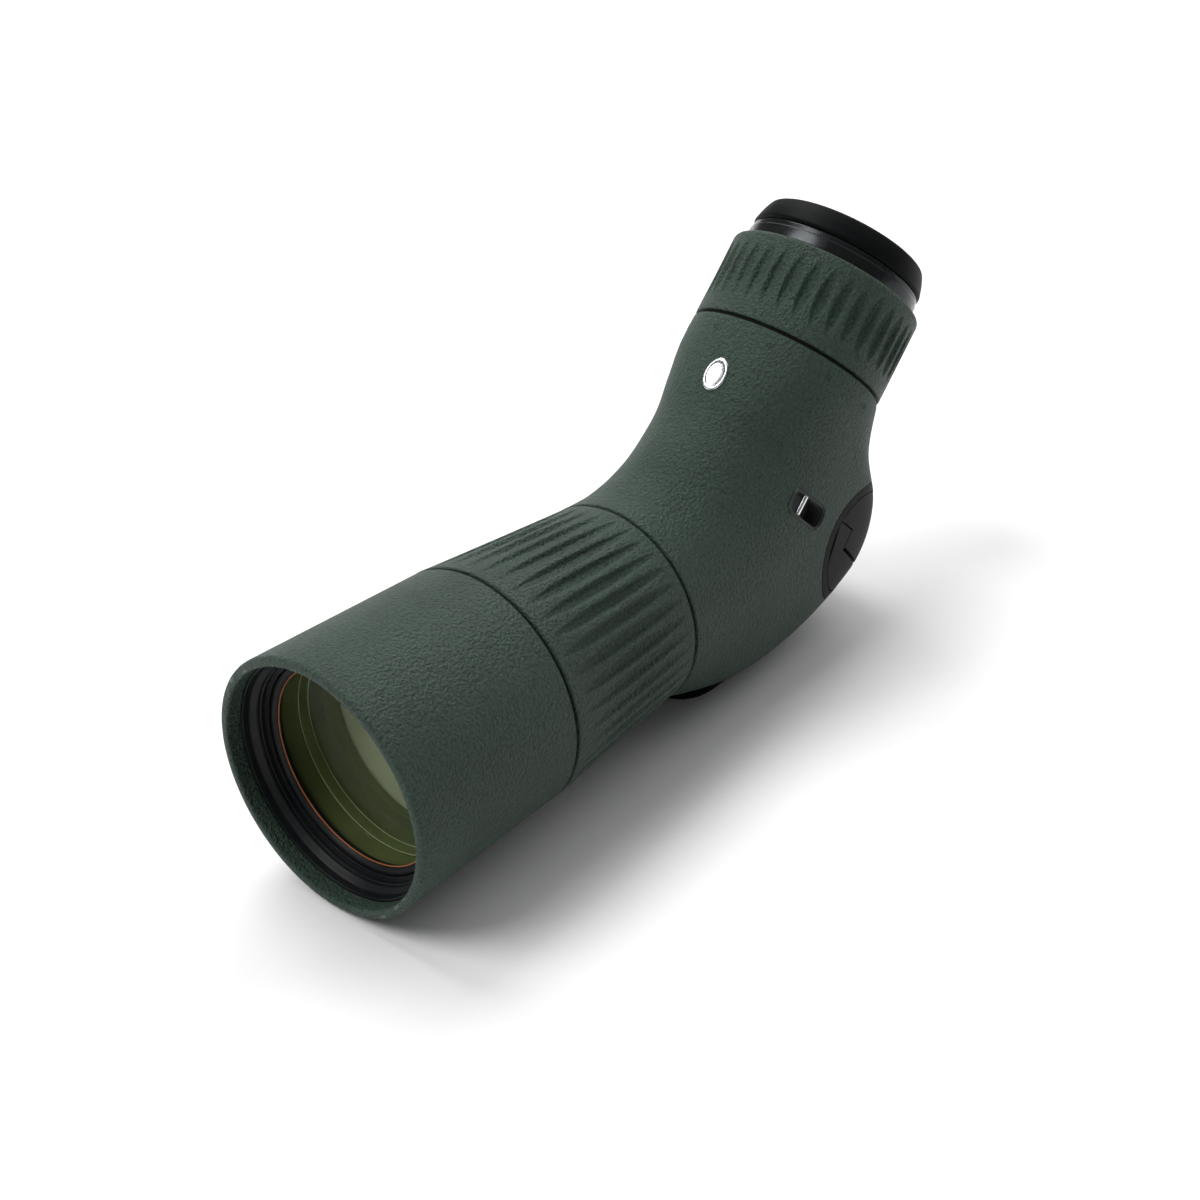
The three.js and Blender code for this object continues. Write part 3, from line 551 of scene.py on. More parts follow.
HOUSING = anodised("cast_housing", srgb(112, 116, 118), srgb(98, 102, 104), 0.45, 0.9)
STEEL = bright_steel("bright_steel", (0.78, 0.79, 0.8, 1.0))
BADGE_STEEL = bright_steel("badge_steel", (0.66, 0.67, 0.68, 1.0), 0.24)
ORANGE = anodised("orange_anodised", srgb(186, 116, 68), srgb(166, 100, 58), 0.3, 0.2)
LENS_EDGE = anodised("lens_edge", srgb(176, 188, 150), srgb(156, 168, 130), 0.35, 0.0)
FRONT_GLASS = coated_glass("front_glass", srgb(70, 78, 44), 0.1)
INNER_GLASS = coated_glass("inner_glass", srgb(84, 94, 60), 0.1)
# The rear lens is an opaque pale disc: its pale colour is painted light, standing in for the brightness deep in
# the objective.
REAR_LENS_PAINTED_LIGHT = coated_glass("rear_lens_painted_light", srgb(205, 218, 176), 1.0, 0.3)
EYE_GLASS = coated_glass("eye_glass", srgb(34, 40, 46), 0.6)


# ---------------------------------------------------------------- objective


def add_objective():
    lip_y = RIM_FRONT_Y
    armour = [
        (RIM_BORE_R, 3.2, 0.0),
        (RIM_BORE_R, lip_y + 0.1, 0.8),
        (RIM_R - 1.5, lip_y - 0.02, 0.5),
        (RIM_R + 0.02, lip_y + 0.4, 1.3),
        (RIM_R - 0.1, lip_y + 3.0, 0.6),
        (FRONT_END_R, FRONT_END_Y, 0.5),
        (FRONT_END_R - 1.7, FRONT_END_Y, 0.3),
        (RIM_R - 2.4, 3.2, 0.0),
    ]
    sleeve = turned("front_sleeve", BARREL, lengthened(armour, 5), ROUND + 32)
    settle(sleeve, "body", ARMOUR, "armour", "front_armour")

    hood = [
        (RIM_R - 2.7, 3.5, 0.2),
        (FRONT_END_R - 2.0, FRONT_END_Y - 0.2, 0.2),
        (NECK_R, FRONT_END_Y - 0.2, 0.3),
        (NECK_R, NECK_END_Y, 0.3),
        (NECK_BORE_R, NECK_END_Y, 0.3),
        (NECK_BORE_R, 53, 0.3),
        (LENS_R + GAP, 50, 0.3),
        (LENS_R + GAP, 9.5, 0.2),
        (31.2, 9.5, 0.15),
        (31.2, 8.2, 0.1),
        (31.6, 8.0, 0.1),
        (31.6, 7.7, 0.1),
        (31.3, 7.5, 0.1),
        (31.5, 6.9, 0.2),
        (32.9, 5.6, 0.4),
        (33.0, 3.5, 0.3),
    ]
    settle(turned("barrel_hood", BARREL, hood), "body", HOOD_BLACK, "black_metal", "barrel_tube")

    retainer = [
        (CLEAR_R + 0.03, 10.8, 0.15),
        (28.9, 10.0, 0.25),
        (LENS_R, 10.0, 0.2),
        (LENS_R, 12.4, 0.1),
        (CLEAR_R + 0.03, 12.4, 0.1),
    ]
    ring = turned("lens_retaining_ring", BARREL, retainer)
    notches = extruded([(-32, -0.7), (32, -0.7), (32, 0.7), (-32, 0.7)], 9.6, 11.2)
    upright = Matrix(((1, 0, 0, 0), (0, 0, 1, 0), (0, 1, 0, 0), (0, 0, 0, 1)))
    cutter = finish_mesh(notches, "notches", BARREL @ upright)
    boolean(ring, "DIFFERENCE", [cutter])
    settle(ring, "body", HOOD_BLACK, "black_metal", "objective_retaining_ring")

    accent = turned("orange_ring", BARREL, ring_outline(27.75, CLEAR_R, 11.0, 11.3, 0.06))
    settle(accent, "body", ORANGE, "accent", "objective_accent_ring")

    lenses = [
        ("front_lens", (12.7, 18.7), (-0.1, 0.9), FRONT_GLASS),
        ("middle_lens", (22.2, 27.2), (0.4, -1.2), INNER_GLASS),
        ("rear_lens", (30.4, 34.8), (-0.6, 0.8), REAR_LENS_PAINTED_LIGHT),
    ]
    for name, ends, sags, glass in lenses:
        add_lens(name, BARREL, LENS_R, ends, sags, glass, "objective_" + name)
    for name, inner, y0 in (("front_lens_bevel", 28.95, 18.86), ("middle_lens_bevel", 28.6, 21.85)):
        bevel = turned(name, BARREL, ring_outline(inner, inner + 0.3, y0, y0 + 0.1, 0.04))
        settle(bevel, "body", LENS_EDGE, "glass")
    wall = turned("lens_cell_wall", BARREL, ring_outline(LENS_R + 0.06, LENS_R + 0.24, 12.9, 37.4, 0.05))
    settle(wall, "body", CELL_OLIVE, "black_metal")
    spacers = [
        ("lens_front_spacer", 28.9, 19.0, 21.8, "objective_front_spacer"),
        ("lens_rear_spacer", 25.9, 27.6, 30.0, "objective_rear_spacer"),
        ("lens_clamp_ring", 26.4, 35.2, 37.6, "objective_clamp_ring"),
        ("light_baffle", 24.8, 41.0, 42.2, "barrel_light_baffle"),
    ]
    for name, inner, y0, y1, node in spacers:
        part = turned(name, BARREL, ring_outline(inner, LENS_R, y0, y1, 0.15))
        settle(part, "body", CELL_OLIVE if y0 < 35 else BAFFLE_BLACK, "black_metal", node)


def lengthened(corners, pieces):
    """The outline with its longest straight divided, so that shading and edge wear stay local."""
    lengths = [(Vector(b[:2]) - Vector(a[:2])).length for a, b in zip(corners, corners[1:])]
    longest = lengths.index(max(lengths))
    a, b = Vector(corners[longest][:2]), Vector(corners[longest + 1][:2])
    between = [(*a.lerp(b, i / pieces), 0.0) for i in range(1, pieces)]
    return corners[: longest + 1] + between + corners[longest + 1 :]


def add_lens(name, place, radius, ends, sags, material, node):
    """A round element with curved faces. Each sag is how far a face bulges past its edge."""
    steps = 14
    bevel = 0.35
    front, back = [], []
    for i in range(steps + 1):
        k = i / steps
        r = (radius - bevel) * k
        front.append((r, ends[0] - sags[0] * (1 - k * k)))
        back.append((r, ends[1] + sags[1] * (1 - k * k)))
    outline = front + [(radius, ends[0] + bevel), (radius, ends[1] - bevel)] + back[::-1]
    rows = [around(r, y) for r, y in outline]
    piece = finish_mesh(lattice(rows, wrap_rows=False), name, place)
    settle(piece, "body", material, "glass", node)


# ---------------------------------------------------------------- fluted rings


def leaf_depth(along, across):
    """A flute's depth, 0 to 1: a flat floor between steep walls, pointed at both tips.

    along runs 0 to 1 from tip to tip, and across runs -1 to 1 from crest to crest.
    """
    if not 0 < along < 1:
        return 0.0
    swell = math.sin(math.pi * along)
    share = abs(across) / (FLUTE_WIDTH * swell**0.45)
    if share >= 1:
        return 0.0
    wall = min(1.0, (1 - share) / FLUTE_WALL)
    return swell**0.8 * wall * wall * (3 - 2 * wall)


def fluted_ring(name, place, start, end, bore, flutes, edges):
    """A rubber grip between two (y, radius) ends, with pointed flutes and rounded end edges."""
    columns = flutes["count"] * FLUTE_COLUMNS
    crest = math.radians(flutes["crest"])
    (y0, r0), (y1, r1) = start, end

    def row(y, radius, along):
        points = []
        for j in range(columns):
            angle = crest + 2 * math.pi * j / columns
            across = 2 * (j % FLUTE_COLUMNS) / FLUTE_COLUMNS - 1
            r = radius - FLUTE_DEPTH * leaf_depth(along, across)
            points.append((r * math.sin(angle), y, r * math.cos(angle)))
        return points

    rolls = [math.radians(a) for a in (0, 22, 45, 68, 90)]
    rows = [row(y0 + edges[0] * (1 - math.cos(a)), r0 - edges[0] * (1 - math.sin(a)), -1) for a in rolls]
    body_y = (y0 + edges[0], y1 - edges[1])
    for i in range(1, FLUTE_ROWS):
        y = body_y[0] + (body_y[1] - body_y[0]) * i / FLUTE_ROWS
        k = (y - y0) / (y1 - y0)
        along = (k - flutes["from"]) / (flutes["to"] - flutes["from"])
        rows.append(row(y, r0 + (r1 - r0) * k, along))
    rows += [
        row(y1 - edges[1] * (1 - math.cos(a)), r1 - edges[1] * (1 - math.sin(a)), -1) for a in rolls[::-1]
    ]
    rows += [row(y1, bore[1], -1), row(y0, bore[0], -1)]
    return finish_mesh(lattice(rows), name, place, 50.0)


def add_focus_ring():
    grip = fluted_ring(
        "focus_grip",
        BARREL,
        (FOCUS_START_Y, FRONT_END_R),
        (FOCUS_END_Y, FOCUS_END_R),
        (32.4, 28.0),
        FOCUS_FLUTES,
        (0.5, 0.5),
    )
    settle(grip, "focus_ring", ARMOUR, "armour", "focus_ring_grip")
    seals = [
        ("focus_front_groove", 30.6, FRONT_END_R - 1.0, FRONT_END_Y + 0.2, "focus_front_seal"),
        ("focus_rear_groove", NECK_R + 0.6, FOCUS_END_R - 1.0, FOCUS_END_Y + 0.2, "focus_rear_seal"),
    ]
    for name, inner, outer, y0, node in seals:
        seal = turned(name, BARREL, ring_outline(inner, outer, y0, y0 + 0.6, 0.1))
        settle(seal, "body", SEAM_BLACK, "black_rubber", node)


def add_zoom_ring():
    grip = fluted_ring(
        "zoom_grip",
        EYEPIECE,
        (ZOOM_START_T, NECK_TOP_R),
        (ZOOM_END_T, NECK_TOP_R),
        (ZOOM_BORE_R, ZOOM_BORE_R),
        ZOOM_FLUTES,
        (0.45, 1.3),
    )
    settle(grip, "zoom_ring", ARMOUR, "armour", "zoom_ring_grip")
    outline = ring_outline(EYE_TUBE_R + 0.6, NECK_TOP_R - 1.0, BODY_END_T + 0.2, ZOOM_START_T - 0.2, 0.1)
    seal = turned("zoom_groove", EYEPIECE, outline)
    settle(seal, "body", SEAM_BLACK, "black_rubber", "zoom_ring_seal")
    tick = curved_plate("zoom_index", NECK_TOP_R, 4.5, (67.0, 69.2), 0.22)
    settle(tick, "zoom_ring", PRINT, "black_rubber")


def curved_plate(name, radius, degrees, ends, half_width):
    """A slim engraved tick, with a rounded outline, lying on a turned surface."""
    steps = 32
    middle, half = (ends[0] + ends[1]) / 2, (ends[1] - ends[0]) / 2
    layers = []
    for rise in (-0.2, 0.035):
        layer = []
        for i in range(steps):
            turn = 2 * math.pi * i / steps
            along = half * math.copysign(abs(math.sin(turn)) ** 0.5, math.sin(turn))
            across = half_width * math.copysign(abs(math.cos(turn)) ** 0.5, math.cos(turn))
            angle = math.radians(degrees) + across / radius
            r = radius + rise
            layer.append((r * math.sin(angle), middle + along, r * math.cos(angle)))
        layers.append(layer)
    return finish_mesh(lattice(layers, wrap_rows=False, cap=True), name, EYEPIECE)


# ---------------------------------------------------------------- body


def port_cutter(radius, name="port_cutter"):
    """A cylinder across the near flank, round the port's centre."""
    return finish_mesh(extruded(disc(PORT_Y, PORT_Z, radius, ROUND), 5, 45), name, BARREL @ SIDEWAYS)


def pocket_outline(grow):
    half_t, half_v = POCKET_WIDTH / 2 + grow, POCKET_LENGTH / 2 + grow
    signs = [(-1, -1), (1, -1), (1, 1), (-1, 1)]
    corners = [(POCKET_T + a * half_t, POCKET_V + b * half_v, POCKET_CORNER + grow) for a, b in signs]
    return rounded(corners, 8)


def pocket_block(side, grow, depth_from=POCKET_FLOOR_X, name="pocket_cutter"):
    x0, x1 = (depth_from, POCKET_CUT_X) if side > 0 else (-POCKET_CUT_X, -depth_from)
    return finish_mesh(extruded(pocket_outline(grow), x0, x1), name, EYEPIECE @ SIDEWAYS)


def foot_drill(radius, y, top=-20.0):
    return finish_mesh(extruded(disc(0, y, radius, 64), FOOT_Z - 10, top), "drill", BARREL)


def foot_drills():
    drills = [foot_drill(outer + GAP, y) for y, outer, _, _ in BUSHES.values()]
    return drills + [foot_drill(1.6 + GAP, y) for y in SCREWS_Y]


def add_body():
    skin = body_shell("body_skin")
    cutters = [port_cutter(PORT_R + GAP)]
    cutters += [pocket_block(side, GAP, POCKET_FLOOR_X - GAP) for side in (1, -1)]
    cutters += foot_drills()
    boolean(skin, "DIFFERENCE", [joined("openings", cutters)])
    settle(skin, "body", ARMOUR, "armour", "body_armour")
    settle(badge(), "body", BADGE_STEEL, "steel", "badge")
    add_zoom_scale()


def ridge_height(x, t):
    """The neck's ridge near the badge, as a smooth curve through a few points of the surface."""
    reach = BADGE_HALF[1]
    low, mid, high, side = (
        on_surface(EYEPIECE, (sx, BADGE_T + st, 60), (0, 0, -1))[0].z
        for sx, st in ((0, -reach), (0, 0), (0, reach), (BADGE_HALF[0], 0))
    )
    k = (t - BADGE_T) / reach
    along = mid + (high - low) / 2 * k + ((high + low) / 2 - mid) * k * k
    return along + (side - mid) * (x / BADGE_HALF[0]) ** 2


def badge():
    """A plain oval badge with a raised border and a shallow dished field."""
    rings = [(0.02, 0.16), (0.4, 0.19), (0.66, 0.26), (0.74, 0.34), (0.78, 0.5)]
    rings += [(0.86, 0.58), (0.93, 0.52), (0.985, 0.34), (1.0, 0.1), (1.0, -0.6), (0.02, -0.6)]
    rows = []
    for share, height in rings:
        row = []
        for s, c in circle(96):
            x, t = BADGE_HALF[0] * share * s, BADGE_T + BADGE_HALF[1] * share * c
            row.append((x, t, ridge_height(x, t) + height))
        rows.append(row)
    return finish_mesh(lattice(rows, wrap_rows=False, cap=True), "oval_badge", EYEPIECE, 40.0)


def add_zoom_scale():
    """Small magnification numbers round the neck, read from the eyepiece end."""
    first, pitch = -87.75, 36.5
    for i, number in enumerate(("17", "20", "25", "30", "35", "40")):
        curve = bpy.data.curves.new("figure", "FONT")
        curve.body = number
        curve.size = 2.1
        curve.align_x = "CENTER"
        curve.resolution_u = 3
        curve.extrude = 0.12
        text = bpy.data.objects.new("figure", curve)
        bpy.context.scene.collection.objects.link(text)
        bpy.context.view_layer.update()
        graph = bpy.context.evaluated_depsgraph_get()
        mesh = bpy.data.meshes.new_from_object(text.evaluated_get(graph))
        bpy.data.objects.remove(text)
        degrees = first + pitch * i
        for vertex in mesh.vertices:
            vertex.co = on_neck(degrees, -vertex.co.x, 61.4 - vertex.co.y, vertex.co.z)
        piece = bpy.data.objects.new("zoom_figure_" + number, mesh)
        bpy.context.scene.collection.objects.link(piece)
        settle(piece, "body", PRINT, "black_rubber")


def on_neck(degrees, across, t, rise):
    """The row-frame place of a point on the neck, by its angle from the ridge, its offset and its rise."""
    angle = math.radians(degrees) + across / NECK_TOP_R
    outward = Vector((math.sin(angle), 0, math.cos(angle)))
    start = outward * 60 + Vector((0, t, 0))
    point, _ = on_surface(EYEPIECE, start, -outward)
    return EYEPIECE @ (point + outward * (rise - 0.09))


# ---------------------------------------------------------------- strap recesses


def add_strap_recess(side, side_name):
    """A black-lined well in one flank with a bright pin across it, and a moulded lip round its mouth."""
    liner = pocket_block(side, 0, name="strap_well_" + side_name)
    boolean(liner, "INTERSECT", [body_solid("skin", 0.15)])
    step = pocket_block(side, -0.45, POCKET_FLOOR_X + 4.6, name="step_cutter")
    hollow = pocket_block(side, -0.7, POCKET_FLOOR_X + 0.6, name="hollow_cutter")
    boolean(liner, "DIFFERENCE", [step, hollow])
    settle(liner, "body", STRAP_WELL, "black_rubber", "strap_recess_" + side_name)

    lip = pocket_lip("strap_lip_" + side_name, side)
    # The lip gets the darker copy of the armour rubber, which is painted shade.
    settle(lip, "body", LIP_RUBBER_PAINTED_SHADE, "armour")

    half = POCKET_WIDTH / 2 - 0.65
    across = EYEPIECE @ Matrix.Translation((side * STRAP_PIN_X, 0, STRAP_PIN_V))
    outline = [
        (0, POCKET_T - half, 0),
        (STRAP_PIN_R, POCKET_T - half, 0.1),
        (STRAP_PIN_R, POCKET_T + half, 0.1),
        (0, POCKET_T + half, 0),
    ]
    pin = turned("strap_bar_" + side_name, across, outline, 48)
    settle(pin, "body", STEEL, "steel", "strap_pin_" + side_name)


def pocket_lip(name, side):
    """A thin rounded bead that follows the recess's mouth over the curved flank."""
    path = []
    for p in pocket_outline(GAP):
        spot = BARREL.inverted() @ (EYEPIECE @ Vector((0, p.x, p.y)))
        path.append(Vector((flank_x(spot.y, spot.z, side), spot.y, spot.z)))
    return bead(name, path, 0.42, side)


def bead(name, path, radius, side):
    """A round bead along a closed path on a flank."""
    rows = []
    columns = 10
    count = len(path)
    for i, here in enumerate(path):
        along = (path[(i + 1) % count] - path[i - 1]).normalized()
        out = Vector((side, 0, 0))
        across = along.cross(out).normalized()
        rows.append(
            [
                here
                + across * radius * math.cos(2 * math.pi * j / columns)
                + out * (radius * math.sin(2 * math.pi * j / columns) - 0.18)
                for j in range(columns)
            ]
        )
    return finish_mesh(lattice(rows), name, BARREL)


# ---------------------------------------------------------------- heel port

# The parting line from the port's centre, as (y, z): a step, then a finger slot.
COVER_LINE = [(-10.3, 13.0), (-3.7, 6.8), (-7.3, 2.1), (0.9, -6.0), (9.5, -14.4)]
INSERT_LINE = [(-10.64, 12.64), (-4.37, 6.75), (-8.33, 1.57), (0.12, -6.78), (8.72, -15.18)]


def half_plane(points, name):
    outline = [(PORT_Y + y, PORT_Z + z) for y, z in points]
    return finish_mesh(extruded(outline, 0, 45), name, BARREL @ SIDEWAYS)


def add_heel_port():
    well = shell_between("port_dish", PORT_R, PORT_WALL + GAP, PORT_WELL_DEPTH)
    settle(well, "body", BLACK_METAL, "black_metal", "port_well")

    bezel = shell_between("port_bezel_ring", PORT_R, 0.0, PORT_WALL)
    boolean(bezel, "DIFFERENCE", [port_cutter(PORT_COVER_R + GAP)])
    settle(bezel, "body", PORT_RIM, "black_rubber", "port_bezel")

    far = 30
    upper = [*COVER_LINE, (far, -far), (far, far), (-far, far)]
    lower = [*INSERT_LINE, (-far, -far)]
    cover = shell_between("port_cover_cap", PORT_COVER_R - 0.15, 0.12, PORT_WALL)
    boolean(cover, "INTERSECT", [half_plane(upper, "upper")])
    settle(cover, "port_cover", PORT_PLASTIC, "black_rubber", "port_cover")
    insert = shell_between("port_cover_catch", PORT_COVER_R - 0.15, 0.12, PORT_WALL)
    boolean(insert, "INTERSECT", [half_plane(lower, "lower")])
    settle(insert, "body", PORT_PLASTIC, "black_rubber", "port_cover_insert")


def shell_between(name, radius, outside, inside):
    """The part of the body's wall inside the port's circle, between two depths below the surface."""
    shell = port_cutter(radius, name)
    boolean(shell, "INTERSECT", [body_solid("outer", outside)])
    boolean(shell, "DIFFERENCE", [body_solid("inner", inside, 4.0)])
    return shell


# ---------------------------------------------------------------- eyepiece


def add_eyepiece():
    tube = [
        (21.0, 44, 0.2),
        (22.4, 44, 0.3),
        (22.4, 54, 0.1),
        (EYE_TUBE_R, 54, 0.2),
        (EYE_TUBE_R, ZOOM_END_T + 0.5, 0.2),
        (COLLAR_R, ZOOM_END_T + 0.5, 0.2),
        (COLLAR_R, COLLAR_END_T - 1.7, 0.15),
        (COLLAR_R - 0.35, COLLAR_END_T - 1.5, 0.1),
        (COLLAR_R - 0.35, COLLAR_END_T, 0.3),
        (22.0, COLLAR_END_T, 0.3),
        (22.0, 56, 0.2),
        (21.0, 55, 0.2),
    ]
    settle(turned("eyepiece_collar", EYEPIECE, tube), "body", BLACK_METAL, "black_metal", "eyepiece_tube")

    barrel = [
        (18.7, 82, 0.2),
        (18.7, 97, 0.3),
        (16.6, 97, 0.3),
        (17.3, 94.2, 0.2),
        (17.3, 84, 0.1),
        (15.5, 82, 0.1),
    ]
    holder = turned("eye_lens_holder", EYEPIECE, barrel)
    settle(holder, "body", BLACK_METAL, "black_metal", "eye_lens_barrel")
    add_lens("eye_lens_glass", EYEPIECE, 17.0, (87.4, 92.8), (1.2, 1.8), EYE_GLASS, "eye_lens")

    carrier = turned("cup_carrier", EYEPIECE, ring_outline(19.1, 20.2, EYECUP_BOTTOM_T, 98.2, 0.2))
    settle(carrier, "eyecup_carrier", BLACK_METAL, "black_metal", "eyecup_carrier")
    top = 99.4
    sleeve = [
        (20.5, EYECUP_BOTTOM_T, 0.2),
        (21.6, EYECUP_BOTTOM_T, 0.2),
        (21.6, COLLAR_END_T + GAP, 0.1),
        (24.8, COLLAR_END_T + GAP, 0.2),
        (24.8, top, 0.2),
        (20.5, top, 0.2),
    ]
    settle(turned("cup_sleeve", EYEPIECE, sleeve), "eyecup", BLACK_METAL, "black_metal", "eyecup_sleeve")
    cup = [
        (25.1, COLLAR_END_T + GAP, 0.1),
        (26.3, COLLAR_END_T + GAP, 0.2),
        (26.9, COLLAR_END_T + 1.1, 0.5),
        (26.0, CUP_END_T - 3.4, 1.0),
        (CUP_END_R - 0.1, CUP_END_T - 0.1, 1.3),
        (CUP_END_R - 1.4, CUP_END_T - 0.05, 0.9),
        (22.2, CUP_END_T - 0.9, 0.9),
        (20.9, CUP_END_T - 3.0, 1.2),
        (20.6, top + GAP, 0.1),
        (25.1, top + GAP, 0.1),
    ]
    rubber = turned("eyecup_ring", EYEPIECE, cup, steps=6)
    settle(rubber, "eyecup", BLACK_RUBBER, "black_rubber", "eyecup_rubber")


# ---------------------------------------------------------------- foot


def add_foot():
    w, nose, heel = FOOT_HALF_WIDTH, 13.0, 6.0
    corners = [
        (-w, FOOT_START_Y, nose),
        (w, FOOT_START_Y, nose),
        (w, FOOT_END_Y, heel),
        (-w, FOOT_END_Y, heel),
    ]
    edge = 1.0
    layers = []
    for degrees in (0, 22, 45, 68, 90):
        angle = math.radians(degrees)
        inset, rise = edge * (1 - math.sin(angle)), edge * (1 - math.cos(angle))
        drawn_in = []
        for x, y, setback in corners:
            along = inset if y == FOOT_START_Y else -inset
            drawn_in.append((x - math.copysign(inset, x), y + along, setback))
        layers.append([(p.x, p.y, FOOT_Z + rise) for p in rounded(drawn_in, 12)])
    top = rounded(corners, 12)
    layers.append([(p.x, p.y, FOOT_Z + 11) for p in top])
    foot = finish_mesh(lattice(layers, wrap_rows=False, cap=True), "foot_block", BARREL)
    boolean(foot, "DIFFERENCE", [body_solid("belly", -GAP, 4.0)])
    cutters = foot_drills()
    head_top = FOOT_Z + FOOT_RECESS + 1.5
    cutters += [foot_drill(SCREW_HEAD_R + GAP, y, head_top) for y in SCREWS_Y]
    boolean(foot, "DIFFERENCE", cutters)
    settle(foot, "body", BLACK_RUBBER, "black_rubber", "tripod_foot")
    for size, (y, outer, minor, pitch) in BUSHES.items():
        bush = threaded_bush("tripod_socket_" + size, y, outer, minor, pitch)
        settle(bush, "body", STEEL, "steel", "tripod_bush_" + size)
    for i, y in enumerate(SCREWS_Y, 1):
        settle(foot_screw("foot_bolt_" + str(i), y), "body", STEEL, "steel", "foot_screw_" + str(i))


def threaded_bush(name, y, outer, minor, pitch):
    """A steel bush with a helical thread in its bore, which opens downwards."""
    length, depth, columns = 11.0, 0.55, 72
    rows = [[(outer * s, y + outer * c, h) for s, c in circle(columns)] for h in (length, 0.3)]
    rows.append([((outer - 0.3) * s, y + (outer - 0.3) * c, 0.0) for s, c in circle(columns)])
    mouth = minor + depth + 0.35
    rows.append([(mouth * s, y + mouth * c, 0.0) for s, c in circle(columns)])
    steps = int(length / pitch * 8)
    for i in range(steps + 1):
        h = 0.5 + (length - 0.5) * i / steps
        row = []
        for j, (s, c) in enumerate(circle(columns)):
            turn = (h / pitch - j / columns) % 1.0
            r = minor + depth * abs(2 * turn - 1)
            row.append((r * s, y + r * c, h))
        rows.append(row)
    placed = BARREL @ Matrix.Translation((0, 0, FOOT_Z + FOOT_RECESS))
    return finish_mesh(lattice(rows), name, placed, 40.0)


def circle(columns):
    """The sine and cosine at equal steps round a turn."""
    turns = [2 * math.pi * j / columns for j in range(columns)]
    return [(math.sin(turn), math.cos(turn)) for turn in turns]


def foot_screw(name, y):
    """A countersunk screw, head down, with a hexagonal socket."""
    outline = [
        (0, 0, 0),
        (SCREW_HEAD_R, 0, 0.3),
        (SCREW_HEAD_R, 1.0, 0.2),
        (1.6, 1.5, 0.1),
        (1.6, 9, 0.3),
        (0, 9, 0),
    ]
    upright = Matrix.Translation((0, y, FOOT_Z + FOOT_RECESS)) @ Matrix.Rotation(math.radians(90), 4, "X")
    screw = turned(name, BARREL @ upright, outline, 64)
    hexagon = [(1.4 * s, y + 1.4 * c) for s, c in circle(6)]
    socket = finish_mesh(extruded(hexagon, FOOT_Z - 1, FOOT_Z + FOOT_RECESS + 1), "socket", BARREL)
    return boolean(screw, "DIFFERENCE", [socket])


# ---------------------------------------------------------------- hidden CAD pieces

HIDDEN_LOOKS = {
    "black_metal": BLACK_METAL,
    "housing": HOUSING,
    "steel": STEEL,
    "glass": INNER_GLASS,
    "black_rubber": SEAM_BLACK,
    "armour": ARMOUR,
    "accent": ORANGE,
}


def dress_cad_nodes():
    """The CAD nodes that still show keep their shape and get the same looks."""
    slots = {s["node"]: s["material_slot"] for s in frame["record"]["subparts"]}
    for name, node in frame["nodes"].items():
        if node.hide_render:
            continue
        node.data.materials.clear()
        node.data.materials.append(HIDDEN_LOOKS[slots[name]])


# ---------------------------------------------------------------- stage

CAMERA_AZIMUTH = 41.26
CAMERA_ELEVATION = 32.25
CAMERA_ROLL = -0.8
CAMERA_DISTANCE = 0.4992
CAMERA_LENS = 60.94
AIM = Vector((0.036, -0.0526, 0.0759))


def add_camera():
    a, e = math.radians(CAMERA_AZIMUTH), math.radians(CAMERA_ELEVATION)
    back = Vector((math.sin(a) * math.cos(e), -math.cos(a) * math.cos(e), math.sin(e)))
    camera = bpy.data.objects.new("camera", bpy.data.cameras.new("camera"))
    camera.data.lens = CAMERA_LENS
    camera.data.sensor_width = 36
    camera.data.clip_start = 0.02
    camera.rotation_mode = "QUATERNION"
    roll = Matrix.Rotation(math.radians(CAMERA_ROLL), 3, "Z")
    facing = (-back).to_track_quat("-Z", "Y").to_matrix() @ roll
    camera.rotation_quaternion = facing.to_quaternion()
    camera.location = AIM + back * CAMERA_DISTANCE
    bpy.context.scene.collection.objects.link(camera)
    bpy.context.scene.camera = camera


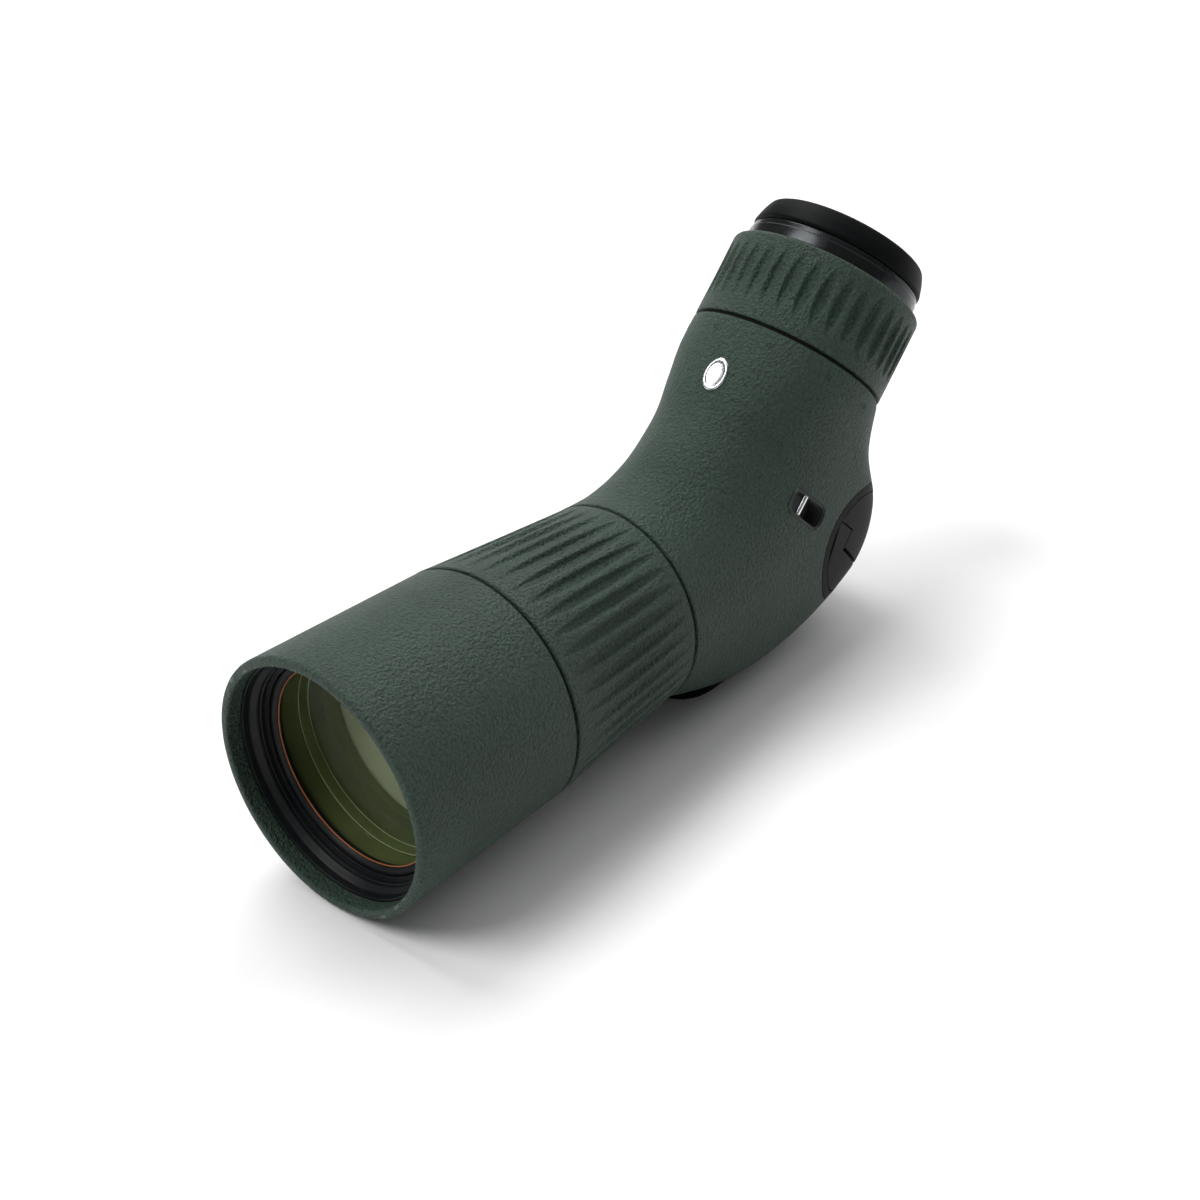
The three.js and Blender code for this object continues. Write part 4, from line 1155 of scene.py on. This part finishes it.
def add_lamp(name, place, size, power):
    """A soft rectangular light, which faces the middle of the object."""
    lamp = bpy.data.lights.new(name, "AREA")
    lamp.shape = "RECTANGLE"
    lamp.size, lamp.size_y = size
    lamp.energy = power
    holder = bpy.data.objects.new(name, lamp)
    holder.location = place
    holder.rotation_mode = "QUATERNION"
    holder.rotation_quaternion = (Vector((0, 0, 0.05)) - Vector(place)).to_track_quat("-Z", "Y")
    bpy.context.scene.collection.objects.link(holder)


def add_sun(name, towards, strength, degrees):
    """A soft distant light, which gives the floor one even brightness."""
    sun = bpy.data.lights.new(name, "SUN")
    sun.energy = strength
    sun.angle = math.radians(degrees)
    holder = bpy.data.objects.new(name, sun)
    holder.rotation_mode = "QUATERNION"
    holder.rotation_quaternion = (-Vector(towards)).to_track_quat("-Z", "Y")
    bpy.context.scene.collection.objects.link(holder)


def add_stage():
    scene = bpy.context.scene
    scene.view_settings.view_transform = "Standard"
    world = bpy.data.worlds.new("studio")
    world.use_nodes = True
    backdrop = next(n for n in world.node_tree.nodes if n.type == "BACKGROUND")
    backdrop.inputs["Color"].default_value = (1.0, 1.0, 1.0, 1.0)
    backdrop.inputs["Strength"].default_value = 0.16
    scene.world = world

    bm = bmesh.new()
    bmesh.ops.create_grid(bm, x_segments=1, y_segments=1, size=6)
    floor = finish_mesh(bm, "floor", Matrix.Identity(4))
    look = Look("floor_paper", Roughness=0.9, Specular_IOR_Level=0.1)
    fibre = look.spread(look.noise(40, 3), 0.3, 0.7)
    look.colour(look.mixed(fibre, (0.83, 0.825, 0.835, 1.0), (0.85, 0.845, 0.85, 1.0)))
    floor.data.materials.append(look.material)

    add_sun("key", (-0.5, 0.12, 0.86), 1.7, 30)
    add_sun("front", (-0.3, -0.55, 0.78), 2.0, 32)
    add_sun("back", (-0.1, 0.74, 0.66), 1.5, 75)
    add_lamp("rear", (-0.62, 0.8, 0.62), (0.7, 0.7), 2.5)


add_camera()
add_objective()
add_focus_ring()
add_body()
for recess_side, recess_name in ((1, "right"), (-1, "left")):
    add_strap_recess(recess_side, recess_name)
add_heel_port()
add_zoom_ring()
add_eyepiece()
add_foot()
dress_cad_nodes()
add_stage()
